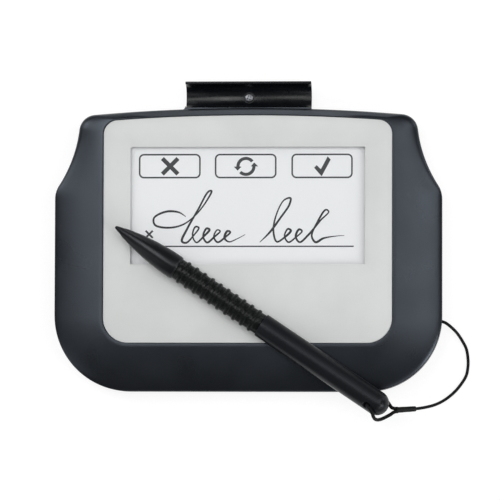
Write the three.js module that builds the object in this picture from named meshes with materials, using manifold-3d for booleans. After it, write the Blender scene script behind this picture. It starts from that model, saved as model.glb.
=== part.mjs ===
// Signature pad: a low housing with a recessed display, a pen rest along its rear edge,
// and a pen on a short tether that leaves the right side and lies across the pad.
// Millimetres. +X is the pad's right side, +Y its rear, +Z up. It lies on four feet at z = 0.

import * as THREE from 'three';
import { mergeVertices } from 'three/addons/utils/BufferGeometryUtils.js';
import Module from 'manifold-3d';

const wasm = await Module();
wasm.setup();

// Clearances, overruns and facet counts
const fitGap = 0.3;
const cutOverrun = 1;
const roundFacets = 20;
const screwFacets = 12;
const cordFacets = 8;
const cornerFacets = 6;
const channelFacets = 8;
const domeSteps = 6;

// Housing outline, seen from above
const bodyWidth = 160;
const bodyDepth = 117;
const neckInset = 10.4;
const flareRadius = 55.8;
const flareDrop = 1.9;
const shoulderRadius = 10;
const frontCornerRadius = 31.4;
const rearCornerRadius = 7;
const archRadius = 771;
const frontEdgeSteps = 3;
const frontCornerSteps = 8;
const sideSteps = 5;
const shoulderSteps = 3;
const flareSteps = 6;
const rearCornerSteps = 5;
const archSteps = 4;

// Housing heights and walls
const footStand = 1;
const coverHeight = 4;
const sideHeight = 4.8;
const crestRise = 3.8;
const wall = 2.2;
const coverFloor = 2;
const crestLand = 0.4;
const pillowPower = 2.2;
const pillowSteps = 5;

// Fascia and the display window in it
const fasciaSideMargin = 20.5;
const fasciaRearMargin = 3.25;
const fasciaFrontMargin = 20;
const fasciaRearRadius = 5.8;
const fasciaFrontRadius = 10.3;
const fasciaThickness = 0.8;
const fasciaStep = 0.4;
const windowSideMargin = 11.1;
const windowDepth = 48.5;
const windowRearMargin = 13;
const windowRadius = 0.6;
const ledgeSetback = 0.7;
const ledgeThickness = 1;

// Display stack, from the seal down to its metal tray
const gasketWidth = 1.2;
const gasketThickness = 0.4;
const sensorBorder = 2.3;
const sensorThickness = 1.1;
const panelThickness = 1.6;
const backlightThickness = 1.3;
const traySheet = 0.5;
const trayEarLength = 7;
const trayEarWidth = 6;
const trayEarInset = 6;
const trayNotchMargin = 4;
const trayBossRadius = 2.6;

// Circuit board and what it carries
const boardWidth = 70;
const boardDepth = 44;
const boardThickness = 1.2;
const boardSideMargin = 29;
const boardRearMargin = 6.5;
const boardStandoff = 0.8;
const boardPostRadius = 2.6;
const boardPostInset = 3.5;
const controllerSize = 12;
const controllerHeight = 1;
const interfaceChipSize = 7;
const interfaceChipHeight = 0.9;
const crystalLength = 5;
const crystalWidth = 3.2;
const crystalHeight = 1;
const connectorDepth = 2;
const connectorHeight = 1.4;
const connectorMargin = 1.5;
const displayFlexWidth = 20;
const displayFlexShare = 0.714;
const sensorFlexWidth = 8;
const sensorFlexShare = 0.443;
const flexThickness = 0.25;
const flexReach = 2.6;
const flexBendRadius = 1;

// Data socket and its inlet in the rear wall
const socketWidth = 7.7;
const socketHeight = 3.9;
const socketDepth = 6.6;
const socketOverhang = 0.7;
const socketShell = 0.4;
const socketPocketDepth = 5;
const socketTongueThickness = 0.9;
const socketTongueWidth = 4.6;
const socketShare = 0.243;
const inletWidth = 12.4;
const inletHeight = 5.4;
const inletSill = 0.8;

// Pen rest, a half round channel behind the housing
const restLength = 52;
const restInnerRadius = 5.05;
const restWall = 1.25;
const restSetback = 4.8;
const restAxisHeight = 9.4;
const restLipRise = 1.6;
const padThickness = 0.25;
const padMargin = 1;
const tongueWidth = 14;
const tongueEndMargin = 4.4;

// Screws and feet
const caseScrew = { shank: 1.1, head: 2.3, headHeight: 1.2, length: 6.4 };
const boardScrew = { shank: 0.9, head: 1.9, headHeight: 0.9, length: 3.2 };
const trayScrew = { shank: 0.9, head: 1.9, headHeight: 0.9, length: 4 };
const restScrew = { shank: 1, head: 2, headHeight: 0.9, length: 2.7 };
const casePostRadius = 3.6;
const caseSeatThickness = 1.6;
const footRadius = 5;
const footRecess = 0.8;
const footSideMargin = 23;
const footRearMargin = 16.5;
const footFrontMargin = 25.5;
const caseRearMargin = 19.5;
const caseMiddleShare = -0.125;

// Tether and the fittings at its two ends
const cordRadius = 0.6;
const cordExitHeight = 6.7;
const cordExitDrop = 2.4;
const glandBore = 1.5;
const glandFlangeRadius = 1.75;
const glandFlangeThickness = 1.1;
const glandRecess = 0.2;
const stopRadius = 1.4;
const stopLength = 2.6;
const ferruleRadius = 1.25;
const ferruleRound = 0.35;
const strandOffset = 0.62;
const cordStep = 2.4;
const loopStep = 1.1;

// Pen, measured along its axis from the tip
const penLength = 134.5;
const penAngle = -33.87;
const penHoleInset = 28.801;
const penHoleOverhang = 3.111;
const nibReach = 3;
const nibTipRadius = 0.45;
const nibShoulderRadius = 0.95;
const nibRadius = 0.75;
const nibInside = 10;
const noseMouthRadius = 1.35;
const noseLength = 31;
const noseRadius = 5.05;
const socketLength = 7;
const spigotRadius = 3.3;
const gripLength = 41;
const gripRadius = 4.42;
const ribHeight = 0.63;
const ribCount = 10;
const ribPitch = 3.894;
const ribInset = 2.72;
const ribFoot = 2.2;
const ribTop = 0.9;
const barrelRadius = 5.05;
const tailLength = 7.8;
const tetherHoleRadius = 1.15;
const tetherHoleMouth = 2;
const tetherHoleTilt = 48;

// Heights that several pieces share
const partingZ = footStand + coverHeight;
const edgeZ = partingZ + sideHeight;
const crestZ = edgeZ + crestRise;
const fasciaTopZ = crestZ - fasciaStep;
const pocketZ = fasciaTopZ - fasciaThickness;
const ledgeZ = pocketZ - ledgeThickness;
const sensorTopZ = ledgeZ - gasketThickness;
const panelTopZ = sensorTopZ - sensorThickness;
const backlightTopZ = panelTopZ - panelThickness;
const trayTopZ = backlightTopZ - backlightThickness;
const trayZ = trayTopZ - traySheet;
const coverTopZ = footStand + coverFloor;
const boardZ = coverTopZ + boardStandoff;
const boardTopZ = boardZ + boardThickness;

// Plan places that several pieces share
const halfWidth = bodyWidth / 2;
const halfDepth = bodyDepth / 2;
const neckHalfWidth = halfWidth - neckInset;
const fasciaHalfWidth = halfWidth - fasciaSideMargin;
const windowWidth = 2 * (fasciaHalfWidth - windowSideMargin);
const fasciaRearY = halfDepth - fasciaRearMargin;
const fasciaFrontY = fasciaFrontMargin - halfDepth;
const windowRearY = fasciaRearY - windowRearMargin;
const windowCentreY = windowRearY - windowDepth / 2;
const boardRearY = halfDepth - boardRearMargin;
const boardCentreY = boardRearY - boardDepth / 2;
const boardLeftX = boardSideMargin - halfWidth;
const boardCentreX = boardLeftX + boardWidth / 2;
const socketX = boardLeftX + boardWidth * socketShare;
const sensorFlexX = boardLeftX + boardWidth * sensorFlexShare;
const displayFlexX = boardLeftX + boardWidth * displayFlexShare;
const restAxisY = halfDepth + restSetback;
const padFaceY = halfDepth + padThickness;
const cordExitY = frontCornerRadius - halfDepth - cordExitDrop;

// Manifold solids from three.js geometry, and back
function solid(geometry) {
  const bare = new THREE.BufferGeometry();
  bare.setAttribute('position', geometry.getAttribute('position'));
  if (geometry.index) bare.setIndex(geometry.index);
  const merged = mergeVertices(bare);
  const vertProperties = new Float32Array(merged.getAttribute('position').array);
  const triVerts = new Uint32Array(merged.index.array);
  return new wasm.Manifold(new wasm.Mesh({ numProp: 3, vertProperties, triVerts }));
}

function geometryOf(manifold) {
  const mesh = manifold.getMesh();
  const geometry = new THREE.BufferGeometry();
  geometry.setAttribute('position', new THREE.BufferAttribute(mesh.vertProperties, mesh.numProp));
  geometry.setIndex(new THREE.BufferAttribute(mesh.triVerts, 1));
  geometry.computeVertexNormals();
  return geometry;
}

function combine(base, added, removed) {
  let result = solid(base);
  for (const piece of added) result = result.add(solid(piece));
  for (const piece of removed) result = result.subtract(solid(piece));
  return geometryOf(result);
}

// Simple solids
function slab(shape, fromZ, toZ) {
  const options = { depth: toZ - fromZ, bevelEnabled: false, curveSegments: cornerFacets };
  return new THREE.ExtrudeGeometry(shape, options).translate(0, 0, fromZ);
}

function box(centreX, centreY, width, depth, fromZ, toZ) {
  const geometry = new THREE.BoxGeometry(width, depth, toZ - fromZ);
  return geometry.translate(centreX, centreY, (fromZ + toZ) / 2);
}

function post(x, y, radius, fromZ, toZ, facets = roundFacets) {
  const geometry = new THREE.CylinderGeometry(radius, radius, toZ - fromZ, facets);
  return geometry.rotateX(Math.PI / 2).translate(x, y, (fromZ + toZ) / 2);
}

function turned(profile, facets = roundFacets) {
  const points = profile.map(([along, radius]) => new THREE.Vector2(radius, along));
  return new THREE.LatheGeometry(points, facets);
}

// Turns a section drawn as (y, z) into a solid that runs along X
function alongX(shape, fromX, length, curveSegments = cornerFacets) {
  const options = { depth: length, bevelEnabled: false, curveSegments };
  const geometry = new THREE.ExtrudeGeometry(shape, options);
  const axes = new THREE.Matrix4().makeBasis(
    new THREE.Vector3(0, 1, 0),
    new THREE.Vector3(0, 0, 1),
    new THREE.Vector3(1, 0, 0),
  );
  return geometry.applyMatrix4(axes).translate(fromX, 0, 0);
}

function roundedRectangle(centreX, centreY, width, depth, radius) {
  const right = centreX + width / 2 - radius;
  const left = centreX - width / 2 + radius;
  const rear = centreY + depth / 2 - radius;
  const front = centreY - depth / 2 + radius;
  const shape = new THREE.Shape();
  shape.absarc(right, rear, radius, 0, Math.PI / 2);
  shape.absarc(left, rear, radius, Math.PI / 2, Math.PI);
  shape.absarc(left, front, radius, Math.PI, Math.PI * 1.5);
  shape.absarc(right, front, radius, Math.PI * 1.5, Math.PI * 2);
  return shape;
}

// Outlines. Each is a list of points, counter-clockwise, whose arcs always have the same number
// of points, so that two outlines can be joined point by point.
function arc(centre, radius, from, to, steps) {
  const points = [];
  for (let i = 0; i < steps; i += 1) {
    const angle = from + ((to - from) * i) / steps;
    points.push(new THREE.Vector2(Math.cos(angle), Math.sin(angle)).multiplyScalar(radius).add(centre));
  }
  return points;
}

function line(from, to, steps) {
  return Array.from({ length: steps }, (_, i) => from.clone().lerp(to, i / steps));
}

function mirrored(rightHalf, rear) {
  const inner = rightHalf.slice(1).reverse();
  const leftHalf = inner.map((point) => new THREE.Vector2(-point.x, point.y));
  return [...rightHalf, rear, ...leftHalf];
}

function direction(from, to) {
  return Math.atan2(to.y - from.y, to.x - from.x);
}

// Centre of a round corner between the rear arch and something to its right
function archCornerCentre(archCentre, archReach, otherCentre, otherReach) {
  const apart = archCentre.distanceTo(otherCentre);
  const along = (archReach ** 2 - otherReach ** 2 + apart ** 2) / (2 * apart);
  const across = Math.sqrt(archReach ** 2 - along ** 2);
  const unit = otherCentre.clone().sub(archCentre).divideScalar(apart);
  const side = new THREE.Vector2(-unit.y, unit.x);
  return archCentre.clone().addScaledVector(unit, along).addScaledVector(side, across);
}

const archCentre = new THREE.Vector2(0, halfDepth - archRadius);

function bodyOutline(inset) {
  const front = inset - halfDepth;
  const cornerX = halfWidth - frontCornerRadius;
  const frontCentre = new THREE.Vector2(cornerX, frontCornerRadius - halfDepth);
  const flareCentre = new THREE.Vector2(neckHalfWidth + flareRadius, halfDepth - flareDrop);
  const shoulderX = halfWidth - shoulderRadius;
  const turn = Math.acos((flareCentre.x - shoulderX) / (flareRadius + shoulderRadius));
  const shoulderY = flareCentre.y - (flareRadius + shoulderRadius) * Math.sin(turn);
  const shoulderCentre = new THREE.Vector2(shoulderX, shoulderY);
  const archReach = archRadius - rearCornerRadius;
  const flareReach = flareRadius + rearCornerRadius;
  const rearCentre = archCornerCentre(archCentre, archReach, flareCentre, flareReach);
  const toCorner = direction(flareCentre, rearCentre);
  const cornerTurn = toCorner < 0 ? toCorner + 2 * Math.PI : toCorner;
  const sideX = halfWidth - inset;
  const archTurn = direction(archCentre, rearCentre);
  const rightHalf = [
    ...line(new THREE.Vector2(0, front), new THREE.Vector2(cornerX, front), frontEdgeSteps),
    ...arc(frontCentre, frontCornerRadius - inset, -Math.PI / 2, 0, frontCornerSteps),
    ...line(new THREE.Vector2(sideX, frontCentre.y), new THREE.Vector2(sideX, shoulderY), sideSteps),
    ...arc(shoulderCentre, shoulderRadius - inset, 0, turn, shoulderSteps),
    ...arc(flareCentre, flareRadius + inset, Math.PI + turn, cornerTurn, flareSteps),
    ...arc(rearCentre, rearCornerRadius - inset, cornerTurn - Math.PI, archTurn, rearCornerSteps),
    ...arc(archCentre, archRadius - inset, archTurn, Math.PI / 2, archSteps),
  ];
  return mirrored(rightHalf, new THREE.Vector2(0, halfDepth - inset));
}

// How far along the housing's side each of its points lies, which the fascia's side repeats
const sideStart = frontEdgeSteps + frontCornerSteps;
const sideEnd = sideStart + sideSteps + shoulderSteps + flareSteps;
const bodyPoints = bodyOutline(0);
const sideRun = bodyPoints[sideEnd].y - bodyPoints[sideStart].y;
const sidePoints = bodyPoints.slice(sideStart, sideEnd);
const sideShares = sidePoints.map(({ y }) => (y - bodyPoints[sideStart].y) / sideRun);

function fasciaOutline(outset) {
  const sideX = fasciaHalfWidth;
  const cornerX = sideX - fasciaFrontRadius;
  const front = fasciaFrontY - outset;
  const frontCentre = new THREE.Vector2(cornerX, fasciaFrontY + fasciaFrontRadius);
  const rearX = sideX - fasciaRearRadius;
  const archSize = archRadius - fasciaRearMargin;
  const rearReach = archSize - fasciaRearRadius;
  const rearY = archCentre.y + Math.sqrt(rearReach ** 2 - rearX ** 2);
  const rearCentre = new THREE.Vector2(rearX, rearY);
  const archTurn = direction(archCentre, rearCentre);
  const sideLength = rearY - frontCentre.y;
  const rightHalf = [
    ...line(new THREE.Vector2(0, front), new THREE.Vector2(cornerX, front), frontEdgeSteps),
    ...arc(frontCentre, fasciaFrontRadius + outset, -Math.PI / 2, 0, frontCornerSteps),
    ...sideShares.map((share) => new THREE.Vector2(sideX + outset, frontCentre.y + sideLength * share)),
    ...arc(rearCentre, fasciaRearRadius + outset, 0, archTurn, rearCornerSteps),
    ...arc(archCentre, archSize + outset, archTurn, Math.PI / 2, archSteps),
  ];
  return mirrored(rightHalf, new THREE.Vector2(0, fasciaRearY + outset));
}

// A solid whose side is a stack of outlines, each a list of points at one height
function stacked(levels) {
  const count = levels[0].points.length;
  const positions = levels.flatMap(({ points, z }) => points.flatMap((point) => [point.x, point.y, z]));
  const index = [];
  for (let level = 0; level < levels.length - 1; level += 1) {
    for (let i = 0; i < count; i += 1) {
      const a = level * count + i;
      const b = level * count + ((i + 1) % count);
      index.push(a, b, b + count, a, b + count, a + count);
    }
  }
  const top = (levels.length - 1) * count;
  for (const [a, b, c] of THREE.ShapeUtils.triangulateShape(levels[0].points, [])) index.push(c, b, a);
  for (const [a, b, c] of THREE.ShapeUtils.triangulateShape(levels.at(-1).points, [])) {
    index.push(top + a, top + b, top + c);
  }
  const geometry = new THREE.BufferGeometry();
  geometry.setAttribute('position', new THREE.Float32BufferAttribute(positions, 3));
  geometry.setIndex(index);
  return geometry;
}

// The housing's bulged form: an upright side, then a convex rim that rises to the crest line
function pillow(inset, fromZ, sideTopZ, topZ) {
  const outer = bodyOutline(inset);
  const crest = fasciaOutline(fitGap + crestLand);
  const levels = [{ points: outer, z: fromZ }];
  for (let step = 0; step <= pillowSteps; step += 1) {
    const turn = (Math.PI / 2) * (step / pillowSteps);
    const inward = 1 - Math.cos(turn) ** (2 / pillowPower);
    const upward = Math.sin(turn) ** (2 / pillowPower);
    const points = outer.map((point, i) => point.clone().lerp(crest[i], inward));
    levels.push({ points, z: sideTopZ + (topZ - sideTopZ) * upward });
  }
  return stacked(levels);
}

// Group of pieces, each with its own material
const part = new THREE.Group();

function addPiece(name, geometry, colour, roughness, metalness = 0, parent = part) {
  const material = new THREE.MeshStandardMaterial({ color: colour, roughness, metalness });
  const mesh = new THREE.Mesh(geometry, material);
  mesh.name = name;
  parent.add(mesh);
  return mesh;
}

// Places of the case screws, feet, tray screws and board screws
const casePlaces = [
  [neckHalfWidth - wall - casePostRadius / 2 - fitGap, halfDepth - caseRearMargin],
  [halfWidth - wall * 2 - casePostRadius - fitGap, halfDepth * caseMiddleShare],
  [halfWidth - frontCornerRadius - casePostRadius, casePostRadius + wall * 2 - halfDepth],
].flatMap(([x, y]) => [[-x, y], [x, y]]);
const footX = halfWidth - footSideMargin;
const footPlaces = [halfDepth - footRearMargin, footFrontMargin - halfDepth].flatMap((y) => (
  [[-footX, y], [footX, y]]
));
const trayHalfWidth = windowWidth / 2 + sensorBorder + fitGap + traySheet;
const trayHalfDepth = windowDepth / 2 + sensorBorder + fitGap + traySheet;
const trayScrewX = trayHalfWidth + trayEarLength - trayEarWidth / 2 - fitGap;
const trayScrewPlaces = [-1, 1].flatMap((side) => [-1, 1].map((end) => [
  side * trayScrewX,
  windowCentreY + end * (trayHalfDepth - trayEarInset),
]));
const boardScrewPlaces = [-1, 1].flatMap((side) => [-1, 1].map((end) => [
  boardCentreX + side * (boardWidth / 2 - boardPostInset),
  boardCentreY + end * (boardDepth / 2 - boardPostInset),
]));
const caseSeatZ = partingZ - caseSeatThickness;
const socketFaceY = boardRearY + socketOverhang;
const inletBottomZ = boardTopZ - inletSill;
const inletTopZ = inletBottomZ + inletHeight;
const wallBackY = boardRearY - cutOverrun;
const wallFrontY = padFaceY + cutOverrun;

function inletCutter() {
  const depth = wallFrontY - wallBackY;
  return box(socketX, (wallBackY + wallFrontY) / 2, inletWidth, depth, inletBottomZ, inletTopZ);
}

function cordHoleCutter() {
  const length = 2 * wall + 2 * cutOverrun;
  const geometry = new THREE.CylinderGeometry(glandBore, glandBore, length, screwFacets);
  return geometry.rotateZ(Math.PI / 2).translate(halfWidth - wall / 2, cordExitY, cordExitHeight);
}

// Upper shell
function frontHousing() {
  const shell = pillow(0, partingZ, edgeZ, crestZ);
  const hollow = pillow(wall, partingZ - cutOverrun, edgeZ - wall, ledgeZ);
  const pocket = slab(new THREE.Shape(fasciaOutline(fitGap)), pocketZ, crestZ + cutOverrun);
  const openingWidth = windowWidth + 2 * ledgeSetback;
  const openingDepth = windowDepth + 2 * ledgeSetback;
  const opening = box(0, windowCentreY, openingWidth, openingDepth, ledgeZ - cutOverrun, crestZ);
  const padWidth = restLength + 2 * padMargin;
  const padBackY = halfDepth - wall / 2;
  const pad = box(0, (padBackY + padFaceY) / 2, padWidth, padFaceY - padBackY, partingZ, edgeZ);
  const bossTopZ = crestZ - wall - fitGap;
  const bosses = casePlaces.map(([x, y]) => post(x, y, casePostRadius, partingZ, bossTopZ, screwFacets));
  const caseHoleTopZ = caseSeatZ + caseScrew.length + fitGap;
  const caseHoles = casePlaces.map(([x, y]) => (
    post(x, y, caseScrew.shank + fitGap, partingZ - cutOverrun, caseHoleTopZ, screwFacets)
  ));
  const trayBosses = trayScrewPlaces.map(([x, y]) => (
    post(x, y, trayBossRadius, trayTopZ, ledgeZ + fitGap, screwFacets)
  ));
  const trayHoleTopZ = trayZ + trayScrew.length + fitGap;
  const trayHoles = trayScrewPlaces.map(([x, y]) => (
    post(x, y, trayScrew.shank + fitGap, trayTopZ - cutOverrun, trayHoleTopZ, screwFacets)
  ));
  const hollowed = combine(shell, [pad], [hollow, pocket, opening]);
  const cutters = [...caseHoles, ...trayHoles, inletCutter(), cordHoleCutter()];
  return combine(hollowed, [...bosses, ...trayBosses], cutters);
}

// Lower shell with its screw posts, foot recesses and the tongue that carries the pen rest
function rearCover() {
  const base = slab(new THREE.Shape(bodyOutline(0)), footStand, partingZ);
  const hollow = slab(new THREE.Shape(bodyOutline(wall)), coverTopZ, partingZ + cutOverrun);
  const tongueTopZ = restAxisHeight - restInnerRadius - restWall - fitGap;
  const tongueBackY = halfDepth - wall;
  const tongueEndY = restAxisY + tongueEndMargin;
  const tongueDepth = tongueEndY - tongueBackY;
  const tongue = box(0, (tongueBackY + tongueEndY) / 2, tongueWidth, tongueDepth, footStand, tongueTopZ);
  const casePosts = casePlaces.map(([x, y]) => (
    post(x, y, casePostRadius, footStand, partingZ, screwFacets)
  ));
  const boardPosts = boardScrewPlaces.map(([x, y]) => (
    post(x, y, boardPostRadius, footStand, boardZ, screwFacets)
  ));
  const headRecesses = casePlaces.map(([x, y]) => (
    post(x, y, caseScrew.head + fitGap, footStand - cutOverrun, caseSeatZ, screwFacets)
  ));
  const shankHoles = casePlaces.map(([x, y]) => (
    post(x, y, caseScrew.shank + fitGap, footStand, partingZ + cutOverrun, screwFacets)
  ));
  const boardHoles = boardScrewPlaces.map(([x, y]) => (
    post(x, y, boardScrew.shank + fitGap, boardTopZ - boardScrew.length - fitGap, boardTopZ, screwFacets)
  ));
  const footRecesses = footPlaces.map(([x, y]) => (
    post(x, y, footRadius + fitGap, footStand - cutOverrun, footStand + footRecess)
  ));
  const restHole = post(0, restAxisY, restScrew.shank + fitGap, 0, partingZ, screwFacets);
  const tray = combine(base, [], [hollow]);
  const cutters = [...headRecesses, ...shankHoles, ...boardHoles, ...footRecesses, restHole, inletCutter()];
  return combine(tray, [tongue, ...casePosts, ...boardPosts], cutters);
}

// Printed front sheet with the display window
function fascia() {
  const sheet = slab(new THREE.Shape(fasciaOutline(0)), pocketZ, fasciaTopZ);
  const window = roundedRectangle(0, windowCentreY, windowWidth, windowDepth, windowRadius);
  return combine(sheet, [], [slab(window, pocketZ - cutOverrun, fasciaTopZ + cutOverrun)]);
}

function gasket() {
  const width = windowWidth + 2 * ledgeSetback;
  const depth = windowDepth + 2 * ledgeSetback;
  const ring = box(0, windowCentreY, width + 2 * gasketWidth, depth + 2 * gasketWidth, sensorTopZ, ledgeZ);
  const hole = box(0, windowCentreY, width, depth, sensorTopZ - cutOverrun, ledgeZ + cutOverrun);
  return combine(ring, [], [hole]);
}

function displaySheet(fromZ, toZ) {
  const width = windowWidth + 2 * sensorBorder;
  const depth = windowDepth + 2 * sensorBorder;
  return box(0, windowCentreY, width, depth, fromZ, toZ);
}

// Metal tray that holds the display against the seal, open at the rear for the flat cables
function displayTray() {
  const width = 2 * trayHalfWidth;
  const depth = 2 * trayHalfDepth;
  const outside = box(0, windowCentreY, width, depth, trayZ, panelTopZ);
  const inside = box(0, windowCentreY, width - 2 * traySheet, depth - 2 * traySheet, trayTopZ, ledgeZ);
  const notchY = windowCentreY + trayHalfDepth;
  const notch = box(0, notchY, windowWidth - 2 * trayNotchMargin, 2 * wall, trayTopZ, ledgeZ);
  const ears = trayScrewPlaces.map(([x, y]) => {
    const centreX = Math.sign(x) * (trayHalfWidth + trayEarLength / 2 - traySheet);
    return box(centreX, y, trayEarLength + traySheet, trayEarWidth, trayZ, trayTopZ);
  });
  const holes = trayScrewPlaces.map(([x, y]) => (
    post(x, y, trayScrew.shank + fitGap, trayZ - cutOverrun, trayTopZ + cutOverrun, screwFacets)
  ));
  return combine(outside, ears, [inside, notch, ...holes]);
}

// Screw with a low domed head: the head sits at headZ and the shank leaves it up or down
function screw({ shank, head, headHeight, length }, x, y, seatZ, shankUp) {
  const way = shankUp ? 1 : -1;
  const profile = [
    [-headHeight, 0],
    [-headHeight, head / 2],
    [-headHeight / 2, head],
    [0, head],
    [0, shank],
    [length - shank, shank],
    [length, shank / 2],
    [length, 0],
  ];
  const geometry = turned(profile, screwFacets).rotateX(Math.PI / 2 * way);
  return geometry.translate(x, y, seatZ);
}

function circuitBoard() {
  const board = box(boardCentreX, boardCentreY, boardWidth, boardDepth, boardZ, boardTopZ);
  const holes = boardScrewPlaces.map(([x, y]) => (
    post(x, y, boardScrew.shank + fitGap, boardZ - cutOverrun, boardTopZ + cutOverrun, screwFacets)
  ));
  return combine(board, [], holes);
}

// Data socket: a metal shell with a mouth facing the rear and a contact tongue inside
function dataSocket() {
  const centreY = socketFaceY - socketDepth / 2;
  const middleZ = boardTopZ + socketHeight / 2;
  const body = box(socketX, centreY, socketWidth, socketDepth, boardTopZ, boardTopZ + socketHeight);
  const mouthWidth = socketWidth - 2 * socketShell;
  const pocketBackY = socketFaceY - socketPocketDepth;
  const mouthDepth = socketPocketDepth + cutOverrun;
  const mouthBottomZ = boardTopZ + socketShell;
  const mouthTopZ = boardTopZ + socketHeight - socketShell;
  const mouthY = pocketBackY + mouthDepth / 2;
  const mouth = box(socketX, mouthY, mouthWidth, mouthDepth, mouthBottomZ, mouthTopZ);
  const tongueDepth = socketPocketDepth - fitGap;
  const tongueFromZ = middleZ - socketTongueThickness / 2;
  const tongueY = pocketBackY + tongueDepth / 2 - socketShell / 2;
  const tongueTopZ = middleZ + socketTongueThickness / 2;
  const tongue = box(socketX, tongueY, socketTongueWidth, tongueDepth, tongueFromZ, tongueTopZ);
  return geometryOf(solid(body).subtract(solid(mouth)).add(solid(tongue)));
}

// Flat cable from a display layer's rear edge, out and down to its connector on the board
const displayRearY = windowCentreY + windowDepth / 2 + sensorBorder;
const connectorTopZ = boardTopZ + connectorHeight;

function flatCable(centreX, width, layerZ) {
  const startY = displayRearY + fitGap;
  const downY = displayRearY + flexReach;
  const outer = new THREE.Shape();
  const half = flexThickness / 2;
  const bend = flexBendRadius;
  outer.moveTo(startY, layerZ - half);
  outer.lineTo(downY - bend, layerZ - half);
  outer.absarc(downY - bend, layerZ - bend, bend - half, Math.PI / 2, 0, true);
  outer.lineTo(downY - half, connectorTopZ + fitGap);
  outer.lineTo(downY + half, connectorTopZ + fitGap);
  outer.lineTo(downY + half, layerZ - bend);
  outer.absarc(downY - bend, layerZ - bend, bend + half, 0, Math.PI / 2);
  outer.lineTo(startY, layerZ + half);
  return alongX(outer, centreX - width / 2, width);
}

function connector(centreX, width) {
  const y = displayRearY + flexReach;
  return box(centreX, y, width + connectorMargin, connectorDepth, boardTopZ, connectorTopZ);
}

// Half round channel, cut flat where it meets the pad on the housing's rear wall
function penRest() {
  const faceY = padFaceY + fitGap;
  const outerRadius = restInnerRadius + restWall;
  const back = faceY - restAxisY;
  const innerTurn = Math.acos(back / restInnerRadius);
  const outerTurn = Math.acos(back / outerRadius);
  const lipZ = restAxisHeight + restLipRise;
  const section = new THREE.Shape();
  section.absarc(restAxisY, restAxisHeight, restInnerRadius, -innerTurn, 0);
  section.lineTo(restAxisY + restInnerRadius, lipZ);
  section.lineTo(restAxisY + outerRadius, lipZ);
  section.absarc(restAxisY, restAxisHeight, outerRadius, 0, -outerTurn, true);
  const channel = alongX(section, -restLength / 2, restLength, channelFacets);
  const seatZ = restAxisHeight - restInnerRadius - fitGap;
  const seat = post(0, restAxisY, restScrew.head + fitGap, seatZ, restAxisHeight, screwFacets);
  const hole = post(0, restAxisY, restScrew.shank + fitGap, 0, restAxisHeight, screwFacets);
  return combine(channel, [], [seat, hole]);
}

// Grommet in the right wall, with the cord's stop behind it
const wallSideX = halfWidth - frontCornerRadius + Math.sqrt(frontCornerRadius ** 2 - cordExitDrop ** 2);

function gland() {
  const faceX = wallSideX - glandRecess;
  const innerX = wallSideX - wall - 2 * fitGap;
  const flangeX = innerX - glandFlangeThickness;
  const barrel = glandBore - fitGap;
  const profile = [
    [flangeX, 0],
    [flangeX, glandFlangeRadius],
    [innerX, glandFlangeRadius],
    [innerX, barrel],
    [faceX - cordRadius, barrel],
    [faceX, barrel - cordRadius],
    [faceX, 0],
  ];
  const geometry = turned(profile, screwFacets).rotateZ(-Math.PI / 2);
  return geometry.translate(0, cordExitY, cordExitHeight);
}

function cordStop() {
  const endX = wallSideX - wall - glandFlangeThickness - 3 * fitGap;
  const profile = [[endX - stopLength, 0], [endX - stopLength, stopRadius], [endX, stopRadius], [endX, 0]];
  const geometry = turned(profile, screwFacets).rotateZ(-Math.PI / 2);
  return geometry.translate(0, cordExitY, cordExitHeight);
}

// Pen frame: the tip is at its origin and the pen runs along its +X
const penFrame = new THREE.Group();
const penAxisZ = crestZ + fitGap + noseRadius;
const penTurn = THREE.MathUtils.degToRad(penAngle);
const holeAlong = penLength - tailLength;
const holeX = halfWidth - penHoleInset;
const holeY = -halfDepth - penHoleOverhang;
const tipX = holeX - holeAlong * Math.cos(penTurn);
const tipY = holeY - holeAlong * Math.sin(penTurn);
penFrame.position.set(tipX, tipY, penAxisZ);
penFrame.rotation.z = penTurn;

function turnedPen(profile, facets = roundFacets) {
  return turned(profile, facets).rotateZ(-Math.PI / 2);
}

function nib() {
  return turnedPen([
    [0, 0],
    [nibTipRadius / 3, nibTipRadius],
    [nibReach / 2, nibShoulderRadius],
    [nibReach, noseMouthRadius],
    [nibReach, nibRadius],
    [nibInside, nibRadius],
    [nibInside, 0],
  ], screwFacets);
}

// The nose swells from its mouth to a collar, then steps down to the grip
const noseShares = [
  [0.046, 0.15], [0.134, 0.32], [0.25, 0.5], [0.37, 0.66], [0.5, 0.79], [0.63, 0.9], [0.72, 0.96],
  [0.82, 1], [0.955, 1], [0.985, 0.96],
];

function nose() {
  const bore = nibRadius + fitGap;
  const socket = spigotRadius + fitGap;
  const reach = noseLength - nibReach;
  const swell = noseShares.map(([along, out]) => [
    nibReach + reach * along,
    noseMouthRadius + (noseRadius - noseMouthRadius) * out,
  ]);
  return turnedPen([
    [nibReach, bore],
    [nibReach, noseMouthRadius],
    ...swell,
    [noseLength, gripRadius],
    [noseLength, socket],
    [noseLength - socketLength, socket],
    [noseLength - socketLength, bore],
    [nibReach, bore],
  ]);
}

const gripStart = noseLength + fitGap;
const gripEnd = gripStart + gripLength;

function grip() {
  const bore = spigotRadius + fitGap;
  const profile = [[gripStart, bore], [gripStart, gripRadius]];
  for (let rib = 0; rib < ribCount; rib += 1) {
    const middle = gripStart + ribInset + rib * ribPitch;
    profile.push([middle - ribFoot / 2, gripRadius]);
    profile.push([middle - ribTop / 2, gripRadius + ribHeight]);
    profile.push([middle + ribTop / 2, gripRadius + ribHeight]);
    profile.push([middle + ribFoot / 2, gripRadius]);
  }
  profile.push([gripEnd, gripRadius], [gripEnd, bore], [gripStart, bore]);
  return turnedPen(profile);
}

// Barrel with its front spigot, domed tail and the slanting cross hole for the tether
const holeTilt = THREE.MathUtils.degToRad(tetherHoleTilt);

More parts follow.
